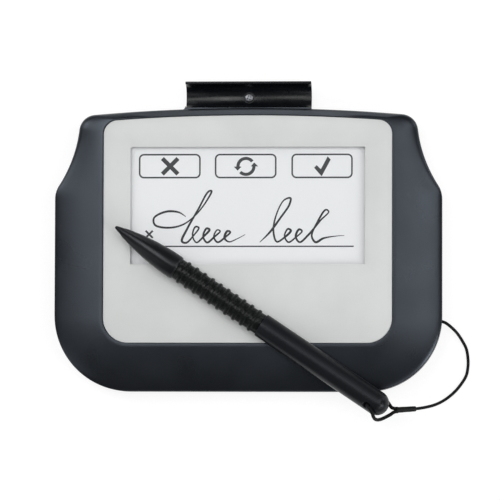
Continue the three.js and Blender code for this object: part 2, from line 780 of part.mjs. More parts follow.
function barrel() {
  const bodyStart = gripEnd + fitGap;
  const spigotStart = noseLength - socketLength + fitGap;
  const domeStart = penLength - barrelRadius;
  const dome = [];
  for (let step = 0; step < domeSteps; step += 1) {
    const turn = (Math.PI / 2) * (step / domeSteps);
    dome.push([domeStart + barrelRadius * Math.sin(turn), barrelRadius * Math.cos(turn)]);
  }
  const body = turnedPen([
    [spigotStart, 0],
    [spigotStart, spigotRadius],
    [bodyStart, spigotRadius],
    [bodyStart, barrelRadius],
    ...dome,
    [penLength, 0],
  ]);
  const reach = barrelRadius + cutOverrun;
  const mouthDepth = tetherHoleMouth - tetherHoleRadius;
  const bore = turned([
    [-reach, 0],
    [-reach, tetherHoleMouth],
    [mouthDepth - barrelRadius, tetherHoleRadius],
    [barrelRadius - mouthDepth, tetherHoleRadius],
    [reach, tetherHoleMouth],
    [reach, 0],
  ], screwFacets);
  bore.rotateX(-holeTilt).translate(holeAlong, 0, 0);
  return combine(body, [], [bore]);
}

// Tether. The free cord's points and the ferrule's ends are measured from the pad's right side,
// its front edge and the desk. The loop's points are distances along the pen, to its left and up,
// from the middle of the cross hole.
const cordRoute = [
  [1.3, 28.5, 6.6], [3.6, 26.8, 5.5], [6.1, 24.3, 3.7], [8.2, 21.2, 2], [9.85, 17.9, 0.9],
  [10.5, 14.2, 0.65], [10.55, 10.9, 0.65], [9.9, 7.2, 0.65], [8.4, 4.4, 0.65], [5.7, 0.9, 0.65],
  [2.9, -1.7, 1], [-0.3, -3.9, 2.9], [-3.6, -5.4, 5.8], [-7, -6.3, 8.8], [-9.2, -6.7, 10.5],
];
const loopRoute = [
  [10.42, 0.5, -4.03], [9.95, -0.75, -3.98], [9.3, -2.05, -3.65], [8.57, -3.4, -2.93],
  [7.68, -4.77, -1.77], [6.75, -5.61, -0.32], [5.83, -5.83, 1.31], [4.88, -5.44, 2.88],
  [3.8, -4.58, 4.12], [2.36, -3.81, 4.62], [0.55, -3.18, 3.99], [-0.3, -2.28, 2.61],
  [-0.37, -0.99, 1.04], [-0.39, 0.37, -0.4], [-0.3, 1.74, -1.84], [0.3, 2.93, -3.32],
  [1.75, 3.7, -4.4], [3.6, 3.5, -4.85], [5.6, 2.95, -4.85], [7.4, 2.25, -4.65],
  [8.45, 1.85, -4.4], [9.3, 1.9, -4.2],
];
const ferruleMouthPlace = [-18.8, -7.5, 14.6];
const ferruleEndPlace = [-10.7, -6.9, 11.4];

function fromCorner([right, rear, up]) {
  return new THREE.Vector3(halfWidth + right, rear - halfDepth, up);
}

const ferruleMouth = fromCorner(ferruleMouthPlace);
const ferruleEnd = fromCorner(ferruleEndPlace);
const ferruleWay = ferruleEnd.clone().sub(ferruleMouth).normalize();
const ferruleSide = new THREE.Vector3(-ferruleWay.y, ferruleWay.x, 0).normalize();

function tube(points, radius, step) {
  const curve = new THREE.CatmullRomCurve3(points);
  const corners = Array.from({ length: cordFacets }, (_, i) => {
    const turn = (2 * Math.PI * i) / cordFacets;
    return new THREE.Vector2(radius * Math.cos(turn), radius * Math.sin(turn));
  });
  const steps = Math.round(curve.getLength() / step);
  const section = new THREE.Shape(corners);
  return new THREE.ExtrudeGeometry(section, { steps, extrudePath: curve, bevelEnabled: false });
}

function ferrule() {
  const length = ferruleMouth.distanceTo(ferruleEnd);
  const geometry = turned([
    [0, 0],
    [0, ferruleRadius],
    [length - ferruleRound, ferruleRadius],
    [length, ferruleRadius - ferruleRound],
    [length, 0],
  ], screwFacets);
  const upright = new THREE.Vector3(0, 1, 0);
  geometry.applyQuaternion(new THREE.Quaternion().setFromUnitVectors(upright, ferruleWay));
  return geometry.translate(ferruleMouth.x, ferruleMouth.y, ferruleMouth.z);
}

function freeCord() {
  const start = new THREE.Vector3(wallSideX - glandRecess + fitGap, cordExitY, cordExitHeight);
  const end = ferruleEnd.clone().addScaledVector(ferruleWay, fitGap);
  return tube([start, ...cordRoute.map(fromCorner), end], cordRadius, cordStep);
}

function loop() {
  penFrame.updateMatrixWorld();
  const route = loopRoute.map(([along, left, up]) => (
    penFrame.localToWorld(new THREE.Vector3(holeAlong + along, left, up))
  ));
  const root = ferruleMouth.clone().addScaledVector(ferruleWay, -fitGap);
  const start = root.clone().addScaledVector(ferruleSide, -strandOffset);
  const end = root.clone().addScaledVector(ferruleSide, strandOffset);
  return tube([start, ...route, end], cordRadius, loopStep);
}

// Colours
const shellGrey = 0x34363a;
const glossBlack = 0x14171a;
const fasciaGrey = 0xd0d2d1;
const displayGrey = 0xe7e9eb;
const backlightWhite = 0xf4f4ee;
const penBlack = 0x1a1b1d;
const rubberBlack = 0x131415;
const steel = 0xb4b7ba;
const boardGreen = 0x1f5a37;
const amber = 0xb5762c;
const gold = 0xc9a24a;

// Housing and display
addPiece('front_housing', frontHousing(), shellGrey, 0.62);
addPiece('rear_cover', rearCover(), shellGrey, 0.7);
addPiece('fascia', fascia(), fasciaGrey, 0.55);
addPiece('sensor_gasket', gasket(), rubberBlack, 0.9);
addPiece('touch_sensor', displaySheet(panelTopZ, sensorTopZ), displayGrey, 0.2);
addPiece('lcd_panel', displaySheet(backlightTopZ, panelTopZ), displayGrey, 0.3);
addPiece('lcd_backlight', displaySheet(trayTopZ, backlightTopZ), backlightWhite, 0.5);
addPiece('lcd_tray', displayTray(), steel, 0.4, 1);

// Electronics
const displayCable = flatCable(displayFlexX, displayFlexWidth, (backlightTopZ + panelTopZ) / 2);
const sensorCable = flatCable(sensorFlexX, sensorFlexWidth, (panelTopZ + sensorTopZ) / 2);
addPiece('lcd_cable', displayCable, amber, 0.5);
addPiece('sensor_cable', sensorCable, amber, 0.5);
addPiece('lcd_connector', connector(displayFlexX, displayFlexWidth), displayGrey, 0.6);
addPiece('sensor_connector', connector(sensorFlexX, sensorFlexWidth), displayGrey, 0.6);
addPiece('main_board', circuitBoard(), boardGreen, 0.5);

function chip(x, y, width, depth, height) {
  return box(x, y, width, depth, boardTopZ, boardTopZ + height);
}

const controllerX = boardCentreX + controllerSize / 2;
const controller = chip(controllerX, boardCentreY, controllerSize, controllerSize, controllerHeight);
addPiece('controller_chip', controller, rubberBlack, 0.5);
const chipX = socketX + interfaceChipSize / 2;
const chipY = boardCentreY + interfaceChipSize;
const interfaceChip = chip(chipX, chipY, interfaceChipSize, interfaceChipSize, interfaceChipHeight);
addPiece('interface_chip', interfaceChip, rubberBlack, 0.5);
const crystalY = boardCentreY - interfaceChipSize;
const crystal = chip(chipX, crystalY, crystalLength, crystalWidth, crystalHeight);
addPiece('clock_crystal', crystal, steel, 0.3, 1);
addPiece('usb_socket', dataSocket(), steel, 0.3, 1);

// Pen rest, tether fittings in the wall, screws and feet
const restSeatZ = restAxisHeight - restInnerRadius - fitGap;
addPiece('pen_rest', penRest(), glossBlack, 0.15);
addPiece('pen_rest_screw', screw(restScrew, 0, restAxisY, restSeatZ, false), steel, 0.3, 1);
addPiece('tether_gland', gland(), rubberBlack, 0.7);
addPiece('tether_stop', cordStop(), gold, 0.4, 1);
casePlaces.forEach(([x, y], i) => {
  addPiece(`case_screw_${i + 1}`, screw(caseScrew, x, y, caseSeatZ, true), steel, 0.35, 1);
});
trayScrewPlaces.forEach(([x, y], i) => {
  addPiece(`tray_screw_${i + 1}`, screw(trayScrew, x, y, trayZ, true), steel, 0.35, 1);
});
boardScrewPlaces.forEach(([x, y], i) => {
  addPiece(`board_screw_${i + 1}`, screw(boardScrew, x, y, boardTopZ, false), steel, 0.35, 1);
});
footPlaces.forEach(([x, y], i) => {
  addPiece(`rubber_foot_${i + 1}`, post(x, y, footRadius, 0, footStand + footRecess), rubberBlack, 0.95);
});

// Pen
addPiece('pen_nib', nib(), penBlack, 0.4, 0, penFrame);
addPiece('pen_nose', nose(), penBlack, 0.4, 0, penFrame);
addPiece('pen_grip', grip(), rubberBlack, 0.6, 0, penFrame);
addPiece('pen_barrel', barrel(), penBlack, 0.4, 0, penFrame);
part.add(penFrame);

// The origin is under the middle of everything but the tether
part.updateMatrixWorld(true);
const bounds = new THREE.Box3().setFromObject(part, true);
const centre = bounds.getCenter(new THREE.Vector3());

// Tether
addPiece('tether_cord', freeCord(), rubberBlack, 0.55);
addPiece('tether_ferrule', ferrule(), rubberBlack, 0.5);
addPiece('tether_loop', loop(), rubberBlack, 0.55);
part.position.set(-centre.x, -centre.y, 0);
part.updateMatrixWorld(true);

export default part;
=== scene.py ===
from math import acos, atan2, cos, exp, pi, radians, sin, sqrt

import bmesh
import bpy
from mathutils import Matrix, Vector


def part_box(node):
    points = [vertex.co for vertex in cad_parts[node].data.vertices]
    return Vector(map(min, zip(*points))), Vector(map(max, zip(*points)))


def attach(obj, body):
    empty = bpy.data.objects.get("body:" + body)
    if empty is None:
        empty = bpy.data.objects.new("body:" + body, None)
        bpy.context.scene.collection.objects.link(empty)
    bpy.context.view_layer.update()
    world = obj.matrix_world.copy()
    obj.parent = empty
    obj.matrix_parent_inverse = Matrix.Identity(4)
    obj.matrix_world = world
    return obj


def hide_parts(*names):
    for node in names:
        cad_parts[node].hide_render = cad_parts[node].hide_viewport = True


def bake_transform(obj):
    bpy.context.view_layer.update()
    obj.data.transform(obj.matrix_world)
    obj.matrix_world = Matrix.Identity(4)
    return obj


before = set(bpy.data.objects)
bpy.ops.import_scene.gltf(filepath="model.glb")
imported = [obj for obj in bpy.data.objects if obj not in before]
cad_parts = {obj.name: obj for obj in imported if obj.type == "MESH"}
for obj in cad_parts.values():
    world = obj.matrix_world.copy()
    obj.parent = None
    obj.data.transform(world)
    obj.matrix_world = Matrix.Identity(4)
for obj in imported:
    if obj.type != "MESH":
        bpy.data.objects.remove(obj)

# Lengths are in millimetres in the pad's own frame, whose middle is the housing's middle.
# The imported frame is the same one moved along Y, and SHIFT_Y says by how much.
MM = 0.001
FIT_GAP = 0.3
HALF_WIDTH = 80.0
HALF_DEPTH = 58.5
FASCIA_FRONT_Y = 20.0 - HALF_DEPTH
FASCIA_REAR_Y = HALF_DEPTH - 3.25
SHIFT_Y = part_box("fascia")[0].y / MM - FASCIA_FRONT_Y
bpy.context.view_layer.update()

# Housing
NECK_HALF = 69.6
FLARE_RADIUS = 55.8
FLARE_DROP = 1.9
SHOULDER_RADIUS = 10.0
FRONT_RADIUS = 31.4
REAR_RADIUS = 7.0
ARCH_RADIUS = 771.0
WALL = 2.2
BASE_Z = 1.0
FLOOR_Z = 3.0
PARTING_Z = 5.0
EDGE_Z = 9.8
CREST_Z = 13.6
BASE_FILLET = 0.9
RIM_LIP = 0.1
INNER_LAND = 0.4
# Insets of the mouldings' edges, each with its distance from the parting line
SEAM_GAP = 0.02
SEAM = ((0.25, SEAM_GAP), (0.06, 0.12), (0.0, 0.3))
# The rim's section: its power, and what is added along the rear, from an x on over a run
RIM_POWER = 2.2
REAR_POWER = 2.3
REAR_FROM_X = 58.0
REAR_RUN = 16.0
CREST_SLOPE = 0.5

# Fascia and display window
FASCIA_HALF = 59.5
FASCIA_FRONT_RADIUS = 10.3
FASCIA_REAR_RADIUS = 5.8
FASCIA_EDGE = 0.12
FASCIA_TOP_Z = 13.2
POCKET_Z = 12.4
LEDGE_Z = 11.4
LEDGE_SETBACK = 0.7
LEDGE_RADIUS = 0.4
SENSOR_TOP_Z = 11.0
WINDOW_HALF_WIDTH = 48.4
WINDOW_HALF_DEPTH = 24.25
WINDOW_RADIUS = 0.6
WINDOW_Y = 18.0

# Pen rest, and the pad of the rear wall that it lies against
REST_Y = HALF_DEPTH + 4.8
REST_Z = 9.4
REST_INNER = 5.05
REST_OUTER = 6.3
REST_HALF = 26.0
REST_LIP_RISE = 1.6
REST_SEAT_Z = 4.05
PAD_FACE_Y = HALF_DEPTH + 0.25
PAD_BACK_Y = HALF_DEPTH - 1.1

# Data socket and its inlet
SOCKET_X = -33.99
SOCKET_Z = PARTING_Z + 1.95
INLET = (SOCKET_X, 56.0, 6.9, 12.4, 10.0, 5.4, 0.8)

# Screws and feet under the pad
CASE_PLACES = [(s * x, y) for x, y in ((65.3, 39.0), (71.7, -7.3125), (45.0, -50.5))
               for s in (-1, 1)]
CASE_SEAT_Z = 3.4
CASE_POST, CASE_BORE, CASE_HOLE = 3.6, 2.6, 1.4
FOOT_PLACES = [(s * 57.0, y) for y in (42.0, -33.0) for s in (-1, 1)]
FOOT_RADIUS = 5.0
FOOT_RECESS = 5.3

# Tether's way out of the right wall, and its thickness
CORD_EXIT_DROP = 2.4
CORD_EXIT_Y = FRONT_RADIUS - HALF_DEPTH - CORD_EXIT_DROP
CORD_EXIT_Z = 6.7
CORD_RADIUS = 0.64
LOOP_RADIUS = 0.74
GLAND_RECESS = 0.2
WALL_SIDE_X = HALF_WIDTH - FRONT_RADIUS + sqrt(FRONT_RADIUS ** 2 - CORD_EXIT_DROP ** 2)

# Pen
PEN_ANGLE = radians(-33.87)
PEN_LENGTH = 134.5
PEN_RADIUS = 5.05
PEN_Z = 18.95
HOLE_ALONG = 126.7
HOLE_TILT = radians(48)


def place(x, y, z):
    """A point of the pad's frame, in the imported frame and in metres."""
    return Vector((x * MM, (y + SHIFT_Y) * MM, z * MM))


# Camera, nearly straight above
IMAGE_PIXELS = 500
MM_PER_PIXEL = 0.4132
SENSOR_WIDTH = 36.0
CAMERA_DISTANCE = 1600.0
CAMERA_AIM = (0.643, 0.057, 6.0)
LEAN_RIGHT = radians(3.6)
LEAN_FRONT = radians(3.0)
CAMERA_ROLL = 0.00285


def add_object(name, data):
    thing = bpy.data.objects.new(name, data)
    bpy.context.scene.collection.objects.link(thing)
    return thing


def add_camera():
    back = Vector((sin(LEAN_RIGHT), -sin(LEAN_FRONT), 0))
    back.z = sqrt(1 - back.length_squared)
    right = Vector((0, 1, 0)).cross(back).normalized()
    up = back.cross(right)
    data = bpy.data.cameras.new("camera")
    data.sensor_width = SENSOR_WIDTH
    data.lens = CAMERA_DISTANCE / MM_PER_PIXEL * SENSOR_WIDTH / IMAGE_PIXELS
    data.clip_start, data.clip_end = 0.05, 20.0
    camera = add_object("camera", data)
    roll = Matrix.Rotation(CAMERA_ROLL, 4, "Z")
    turn = Matrix((right, up, back)).transposed().to_4x4()
    where = place(*CAMERA_AIM) + back * CAMERA_DISTANCE * MM
    camera.matrix_world = Matrix.Translation(where) @ turn @ roll
    bpy.context.scene.camera = camera


add_camera()
bpy.context.scene.view_settings.view_transform = "Standard"


# Node materials. An input's name is written with _ for each space.
def give(socket, value):
    """Gives an input its value, or links it where the value is another node's output."""
    if isinstance(value, bpy.types.NodeSocket):
        socket.id_data.links.new(value, socket)
    else:
        socket.default_value = value


def fill(node, **values):
    for name, value in values.items():
        give(node.inputs[name.replace("_", " ")], value)


def add_node(tree, kind, **values):
    node = tree.nodes.new("ShaderNode" + kind)
    fill(node, **values)
    return node


def linear(colour):
    """Scene values of an sRGB colour written as 0 to 255."""
    values = [c / 255 for c in colour]
    return [v / 12.92 if v <= 0.04045 else ((v + 0.055) / 1.055) ** 2.4 for v in values] + [1.0]


def new_material(name, colour, roughness, **values):
    material = bpy.data.materials.new(name)
    material.use_nodes = True
    tree = material.node_tree
    shader = tree.nodes["Principled BSDF"]
    fill(shader, Base_Color=linear(colour), Roughness=roughness, **values)
    return material, tree, shader


def on_object(tree):
    return add_node(tree, "TexCoord").outputs["Object"]


def noise(tree, scale, detail=3.0, stretch=None):
    source = on_object(tree)
    if stretch:
        source = add_node(tree, "Mapping", Vector=source, Scale=stretch).outputs["Vector"]
    return add_node(tree, "TexNoise", Vector=source, Scale=scale, Detail=detail).outputs["Fac"]


def bricks(tree, width, height, joint, colours, **values):
    """Rows of bricks, in mm, in the colours of two bricks and of the joint between them."""
    first, second, mortar = [linear(colour) for colour in colours]
    return add_node(tree, "TexBrick", Vector=on_object(tree), Scale=1.0, Brick_Width=width * MM,
                    Row_Height=height * MM, Mortar_Size=joint * MM, Color1=first, Color2=second,
                    Mortar=mortar, **values)


def ramp(tree, source, low, high, ends=(0.35, 0.65)):
    """Maps a texture's value to a colour between low and high."""
    node = add_node(tree, "ValToRGB", Fac=source)
    for element, position, colour in zip(node.color_ramp.elements, ends, (low, high)):
        element.position = position
        element.color = colour
    return node.outputs["Color"]


def vary_roughness(tree, shader, source, low, high):
    """Maps the middle of a texture's values to roughness between low and high."""
    node = add_node(tree, "MapRange", Value=source, From_Min=0.3, From_Max=0.7, To_Min=low,
                    To_Max=high)
    fill(shader, Roughness=node.outputs["Result"])


def add_bump(tree, shader, strength, depth, *heights):
    """Adds bump from sources with their shares of the strength, fine ones after coarse ones."""
    last = None
    for source, share in heights:
        node = add_node(tree, "Bump", Strength=strength * share, Distance=depth * MM, Height=source)
        if last:
            fill(node, Normal=last)
        last = node.outputs["Normal"]
    fill(shader, Normal=last)


def vary_colour(tree, shader, colour, spread, scale, stretch=None):
    low = linear([c * (1 - spread) for c in colour])
    high = linear([min(255, c * (1 + spread)) for c in colour])
    fill(shader, Base_Color=ramp(tree, noise(tree, scale, 4.0, stretch), low, high))


def moulded(name, colour, roughness, grain, depth, spread=0.04, specular=0.5, tint=(1, 1, 1)):
    """Moulded plastic with a spark-eroded grain of a size and depth in mm."""
    material, tree, shader = new_material(
        name, colour, roughness, Specular_IOR_Level=specular, Specular_Tint=(*tint, 1))
    vary_colour(tree, shader, colour, spread, scale=30.0)
    fine = noise(tree, 1000 / grain, detail=2.0)
    pits = add_node(tree, "TexVoronoi", Vector=on_object(tree), Scale=800 / grain)
    add_bump(tree, shader, 0.35, depth, (fine, 1.0), (pits.outputs["Distance"], 0.5))
    broad = noise(tree, 60.0, detail=2.0)
    vary_roughness(tree, shader, broad, roughness - 0.03, roughness + 0.04)
    return material


def glossy(name, colour, roughness, specular):
    """Polished plastic with faint ripples and fine wear."""
    material, tree, shader = new_material(name, colour, roughness, Specular_IOR_Level=specular)
    vary_colour(tree, shader, colour, spread=0.05, scale=40.0)
    ripple = noise(tree, 90.0, detail=2.0)
    wear = noise(tree, 2500.0, stretch=(1, 0.08, 1))
    add_bump(tree, shader, 0.05, 0.1, (ripple, 1.0), (wear, 0.15))
    smears = noise(tree, 300.0, detail=4.0)
    vary_roughness(tree, shader, smears, roughness * 0.8, roughness * 1.3)
    return material


def metal(name, colour, roughness, stretch=None):
    """Bright metal with fine marks, which stretch draws out."""
    material, tree, shader = new_material(name, colour, roughness, Metallic=1.0)
    vary_colour(tree, shader, colour, spread=0.05, scale=400.0, stretch=stretch)
    marks = noise(tree, 1500.0, detail=4.0, stretch=stretch)
    add_bump(tree, shader, 0.08, 0.05, (marks, 1.0))
    vary_roughness(tree, shader, marks, roughness - 0.06, roughness + 0.08)
    return material


def rubbery(name, colour, roughness, grain, depth=0.04, specular=0.35):
    """Rubber with a faint bloom and a grain of a size and depth in mm."""
    material, tree, shader = new_material(name, colour, roughness, Sheen_Weight=0.03,
                                          Sheen_Roughness=0.4, Specular_IOR_Level=specular)
    vary_colour(tree, shader, colour, spread=0.08, scale=80.0)
    add_bump(tree, shader, 0.25, depth, (noise(tree, 1000 / grain), 1.0))
    return material


def handled_rubber(name, colour, roughness):
    """Rubber that fingers have polished in small patches."""
    material, tree, shader = new_material(name, colour, roughness)
    vary_colour(tree, shader, colour, spread=0.1, scale=80.0)
    add_bump(tree, shader, 0.2, 0.02, (noise(tree, 3000.0), 1.0))
    low, high = [(v, v, v, 1) for v in (0.08, 0.3)]
    patches = ramp(tree, noise(tree, 1700.0), low, high, ends=(0.38, 0.68))
    fill(shader, Specular_IOR_Level=patches)
    return material


def printed_sheet(name, colour, roughness):
    """Matt printed film with a fine pearl grain."""
    material, tree, shader = new_material(name, colour, roughness, Specular_IOR_Level=0.35)
    vary_colour(tree, shader, colour, spread=0.012, scale=55.0)
    add_bump(tree, shader, 0.12, 0.02, (noise(tree, 3200.0, detail=2.0), 1.0))
    vary_roughness(tree, shader, noise(tree, 150.0), roughness - 0.04, roughness + 0.04)
    return material


def display_surface(name, colour):
    """Pale reflective display of square dots, seen through its clear hard-coated front."""
    material, tree, shader = new_material(
        name, colour, roughness=0.55, Coat_Weight=0.35, Coat_Roughness=0.25)
    shades = [[c * share for c in colour] for share in (1, 0.995, 0.965)]
    dots = bricks(tree, 0.3, 0.3, 0.02, shades, Mortar_Smooth=1.0)
    dots.offset = 0.0
    fill(shader, Base_Color=dots.outputs["Color"])
    add_bump(tree, shader, 0.05, 0.02, (noise(tree, 2600.0, detail=2.0), 1.0))
    return material


def board_surface(name):
    """Green solder mask with fine copper tracks under it."""
    material, tree, shader = new_material(name, (24, 92, 52), roughness=0.35)
    tracks = bricks(tree, 6.3, 1.1, 0.16, ((22, 84, 48), (24, 90, 52), (44, 128, 74)))
    fill(shader, Base_Color=tracks.outputs["Color"])
    add_bump(tree, shader, 0.2, 0.03, (tracks.outputs["Fac"], 1.0), (noise(tree, 900.0), 0.3))
    return material


SHELL = moulded("shell_plastic", (13, 14, 17), 0.29, grain=0.3, depth=0.035, spread=0.05,
                specular=0.6, tint=(0.745, 0.855, 1.0))
SHELL_BASE = moulded("base_plastic", (30, 31, 35), 0.6, grain=0.35, depth=0.06)
FASCIA = printed_sheet("fascia_film", (214, 216, 215), 0.55)
DISPLAY = display_surface("display_face", (233, 235, 237))
LIGHT_GUIDE = printed_sheet("light_guide_acrylic", (240, 241, 236), 0.3)
INK = printed_sheet("display_ink", (66, 68, 70), 0.6)
STROKE_INK = printed_sheet("display_stroke", (50, 51, 54), 0.6)
GLOSS = glossy("rest_gloss", (9, 12, 16), 0.25, specular=0.36)
REST_STEEL = metal("blackened_steel", (128, 130, 134), 0.36)
PEN_SKIN = moulded("pen_plastic_skin", (19, 20, 23), 0.33, grain=0.2, depth=0.012, spread=0.06,
                   specular=0.25, tint=(0.87, 0.93, 1.0))
NOSE_SKIN = moulded("nose_plastic_skin", (12, 13, 15), 0.29, grain=0.2, depth=0.012, spread=0.06,
                    specular=0.34, tint=(0.9, 0.94, 1.0))
GRIP = handled_rubber("grip_rubber", (15, 17, 17), 0.28)
RUBBER = rubbery("feet_rubber", (26, 27, 28), 0.85, grain=0.5)
CORD = rubbery("cord_skin", (14, 15, 17), 0.5, grain=0.25, depth=0.03, specular=0.12)
FERRULE = glossy("ferrule_plastic", (12, 13, 15), 0.45, specular=0.2)
STEEL = metal("zinc_plated_steel", (188, 191, 195), 0.28)
SHEET_STEEL = metal("rolled_steel", (180, 183, 186), 0.34, stretch=(1, 0.05, 1))
BRASS = metal("brass_fitting", (196, 158, 84), 0.32)
GOLD = metal("contact_gold", (214, 176, 92), 0.25)
BOARD = board_surface("board_solder_mask")
CHIP = moulded("chip_epoxy", (28, 29, 30), 0.6, grain=0.15, depth=0.02)
CONNECTOR = moulded("connector_nylon", (222, 218, 204), 0.5, grain=0.2, depth=0.02)
FLAT_CABLE = printed_sheet("polyimide_cable", (176, 112, 40), 0.35)


# Turns and arcs
def quarter(steps):
    """The sine and cosine of each angle from 0 to a quarter turn."""
    turns = [pi / 2 * i / steps for i in range(steps + 1)]
    return [(sin(t), cos(t)) for t in turns]


def circle(sides):
    turns = [2 * pi * i / sides for i in range(sides)]
    return [(cos(t), sin(t)) for t in turns]


def sweep(x, y, radius, start, end, steps):
    """Points along an arc about x, y, with both its ends."""
    turns = [start + (end - start) * i / steps for i in range(steps + 1)]
    return [(x + radius * cos(t), y + radius * sin(t)) for t in turns]


def rounded(reach_x, reach_y, radius, steps):
    """Counter-clockwise points of a rectangle about the origin with round corners."""
    points = []
    for corner, (sx, sy) in enumerate(((1, -1), (1, 1), (-1, 1), (-1, -1))):
        start = pi / 2 * (corner - 1)
        points += sweep(sx * (reach_x - radius), sy * (reach_y - radius), radius, start,
                        start + pi / 2, steps)
    return points


# Mesh helpers
SHARP = 35.0
WELD = 0.0005
AXIS_RADIUS = 0.0002


def smooth(mesh, material, sharp):
    """Gives a mesh its material and smooth shading, apart from edges sharper than an angle."""
    mesh.materials.clear()
    mesh.materials.append(material)
    mesh.shade_smooth()
    mesh.set_sharp_from_angle(angle=radians(sharp))


def mesh_from(name, points, faces, material, sharp=SHARP, weld=WELD):
    mesh = bpy.data.meshes.new(name)
    mesh.from_pydata([place(*p) for p in points], [], faces)
    work = bmesh.new()
    work.from_mesh(mesh)
    bmesh.ops.remove_doubles(work, verts=work.verts, dist=weld * MM)
    bmesh.ops.dissolve_degenerate(work, dist=weld * MM, edges=work.edges)
    bmesh.ops.recalc_face_normals(work, faces=work.faces)
    work.to_mesh(mesh)
    work.free()
    smooth(mesh, material, sharp)
    return add_object(name, mesh)


def joined(loops, closed, start=0):
    """Faces between rings of points, and from the last to the first where closed, or else caps."""
    count = len(loops[0])
    faces = []
    for step in range(len(loops) if closed else len(loops) - 1):
        low = start + step * count
        high = start + (step + 1) % len(loops) * count
        for i in range(count):
            j = (i + 1) % count
            faces.append((low + i, low + j, high + j, high + i))
    if not closed:
        end = start + len(loops) * count
        faces.append(tuple(reversed(range(start, start + count))))
        faces.append(tuple(range(end - count, end)))
    return faces


def rings(name, loops, material, closed=False, sharp=SHARP):
    points = [p for ring in loops for p in ring]
    return mesh_from(name, points, joined(loops, closed), material, sharp)


def lathe(name, profile, material, frame_of, sides, closed=False, sharp=SHARP):
    """Turns a profile of (along, radius) about an axis. frame_of maps along, across and up."""
    loops = []
    for along, radius in profile:
        radius = max(radius, AXIS_RADIUS)
        loops.append([frame_of(along, radius * c, radius * s) for c, s in circle(sides)])
    return rings(name, loops, material, closed, sharp)


def upright(x, y):
    return lambda along, across, up: (x + across, y + up, along)


def sideways(x, y, z):
    return lambda along, across, up: (x + along, y + across, z + up)


CORD_WAY_OUT = sideways(WALL_SIDE_X, CORD_EXIT_Y, CORD_EXIT_Z)


def carve(piece, cutters, operation="DIFFERENCE"):
    """Cuts cutters out of a piece, or adds them to it, and removes them."""
    for cutter in cutters:
        modifier = piece.modifiers.new("cut", "BOOLEAN")
        modifier.operation = operation
        modifier.solver = "EXACT"
        modifier.object = cutter
    graph = bpy.context.evaluated_depsgraph_get()
    mesh = bpy.data.meshes.new_from_object(piece.evaluated_get(graph))
    material = piece.data.materials[0]
    piece.modifiers.clear()
    piece.data = mesh
    smooth(mesh, material, SHARP)
    for cutter in cutters:
        bpy.data.objects.remove(cutter)
    return piece


def drums(places, radius, from_z, to_z):
    profile = [(from_z, radius), (to_z, radius)]
    return [lathe("drum", profile, SHELL, upright(x, y), 48) for x, y in places]


def block(x, y, z, width, depth, height, edge, material=SHELL, name="block"):
    """Box about a centre, with its upright corners and edges rounded by edge."""
    steps, least = 3, 0.02

    def section(inset, section_z):
        outline = rounded(width / 2 - inset, depth / 2 - inset, max(edge - inset, least), steps)
        return [(x + px, y + py, section_z) for px, py in outline]

    half, turns = height / 2, quarter(steps)
    lower = [section(edge * (1 - s), z - half + edge * (1 - c)) for s, c in turns]
    upper = [section(edge * (1 - c), z + half - edge * (1 - s)) for s, c in turns]
    return rings(name, lower + upper, material)


# Outlines, point for point as the solids have them, but finer
EDGE_STEPS, CORNER_STEPS, SIDE_STEPS, SHOULDER_STEPS = 8, 28, 8, 8
FLARE_STEPS, REAR_STEPS, ARCH_STEPS = 22, 14, 24
ARCH_CENTRE = Vector((0, HALF_DEPTH - ARCH_RADIUS))


def arc(centre, radius, start, end, steps):
    """Points along an arc without its last, where the next stretch starts."""
    return [Vector(p) for p in sweep(*centre, radius, start, end, steps)[:-1]]


def line(start, end, steps):
    return [start.lerp(end, i / steps) for i in range(steps)]


def heading(start, end):
    return atan2(end.y - start.y, end.x - start.x)


def corner_between(first, first_reach, second, second_reach):
    """The point at the given distances from two others."""
    apart = (second - first).length
    along = (first_reach ** 2 - second_reach ** 2 + apart ** 2) / (2 * apart)
    across = sqrt(first_reach ** 2 - along ** 2)
    unit = (second - first) / apart
    return first + unit * along + Vector((-unit.y, unit.x)) * across


def front_part(half_width, front, radius, outset):
    """Front edge and front corner of an outline's right half, and the corner's centre."""
    centre = Vector((half_width - radius, front + radius))
    middle = Vector((0, front - outset))
    half = line(middle, Vector((centre.x, middle.y)), EDGE_STEPS)
    return half + arc(centre, radius + outset, -pi / 2, 0, CORNER_STEPS), centre


def whole(half, rear_centre, radius, turn, arch_size):
    """Ends the right half with the rear corner, from a turn on, and the arch, and mirrors it."""
    arch_turn = heading(ARCH_CENTRE, rear_centre)
    half += arc(rear_centre, radius, turn, arch_turn, REAR_STEPS)
    half += arc(ARCH_CENTRE, arch_size, arch_turn, pi / 2, ARCH_STEPS)
    rear = Vector((0, ARCH_CENTRE.y + arch_size))
    return half + [rear] + [Vector((-p.x, p.y)) for p in reversed(half[1:])]


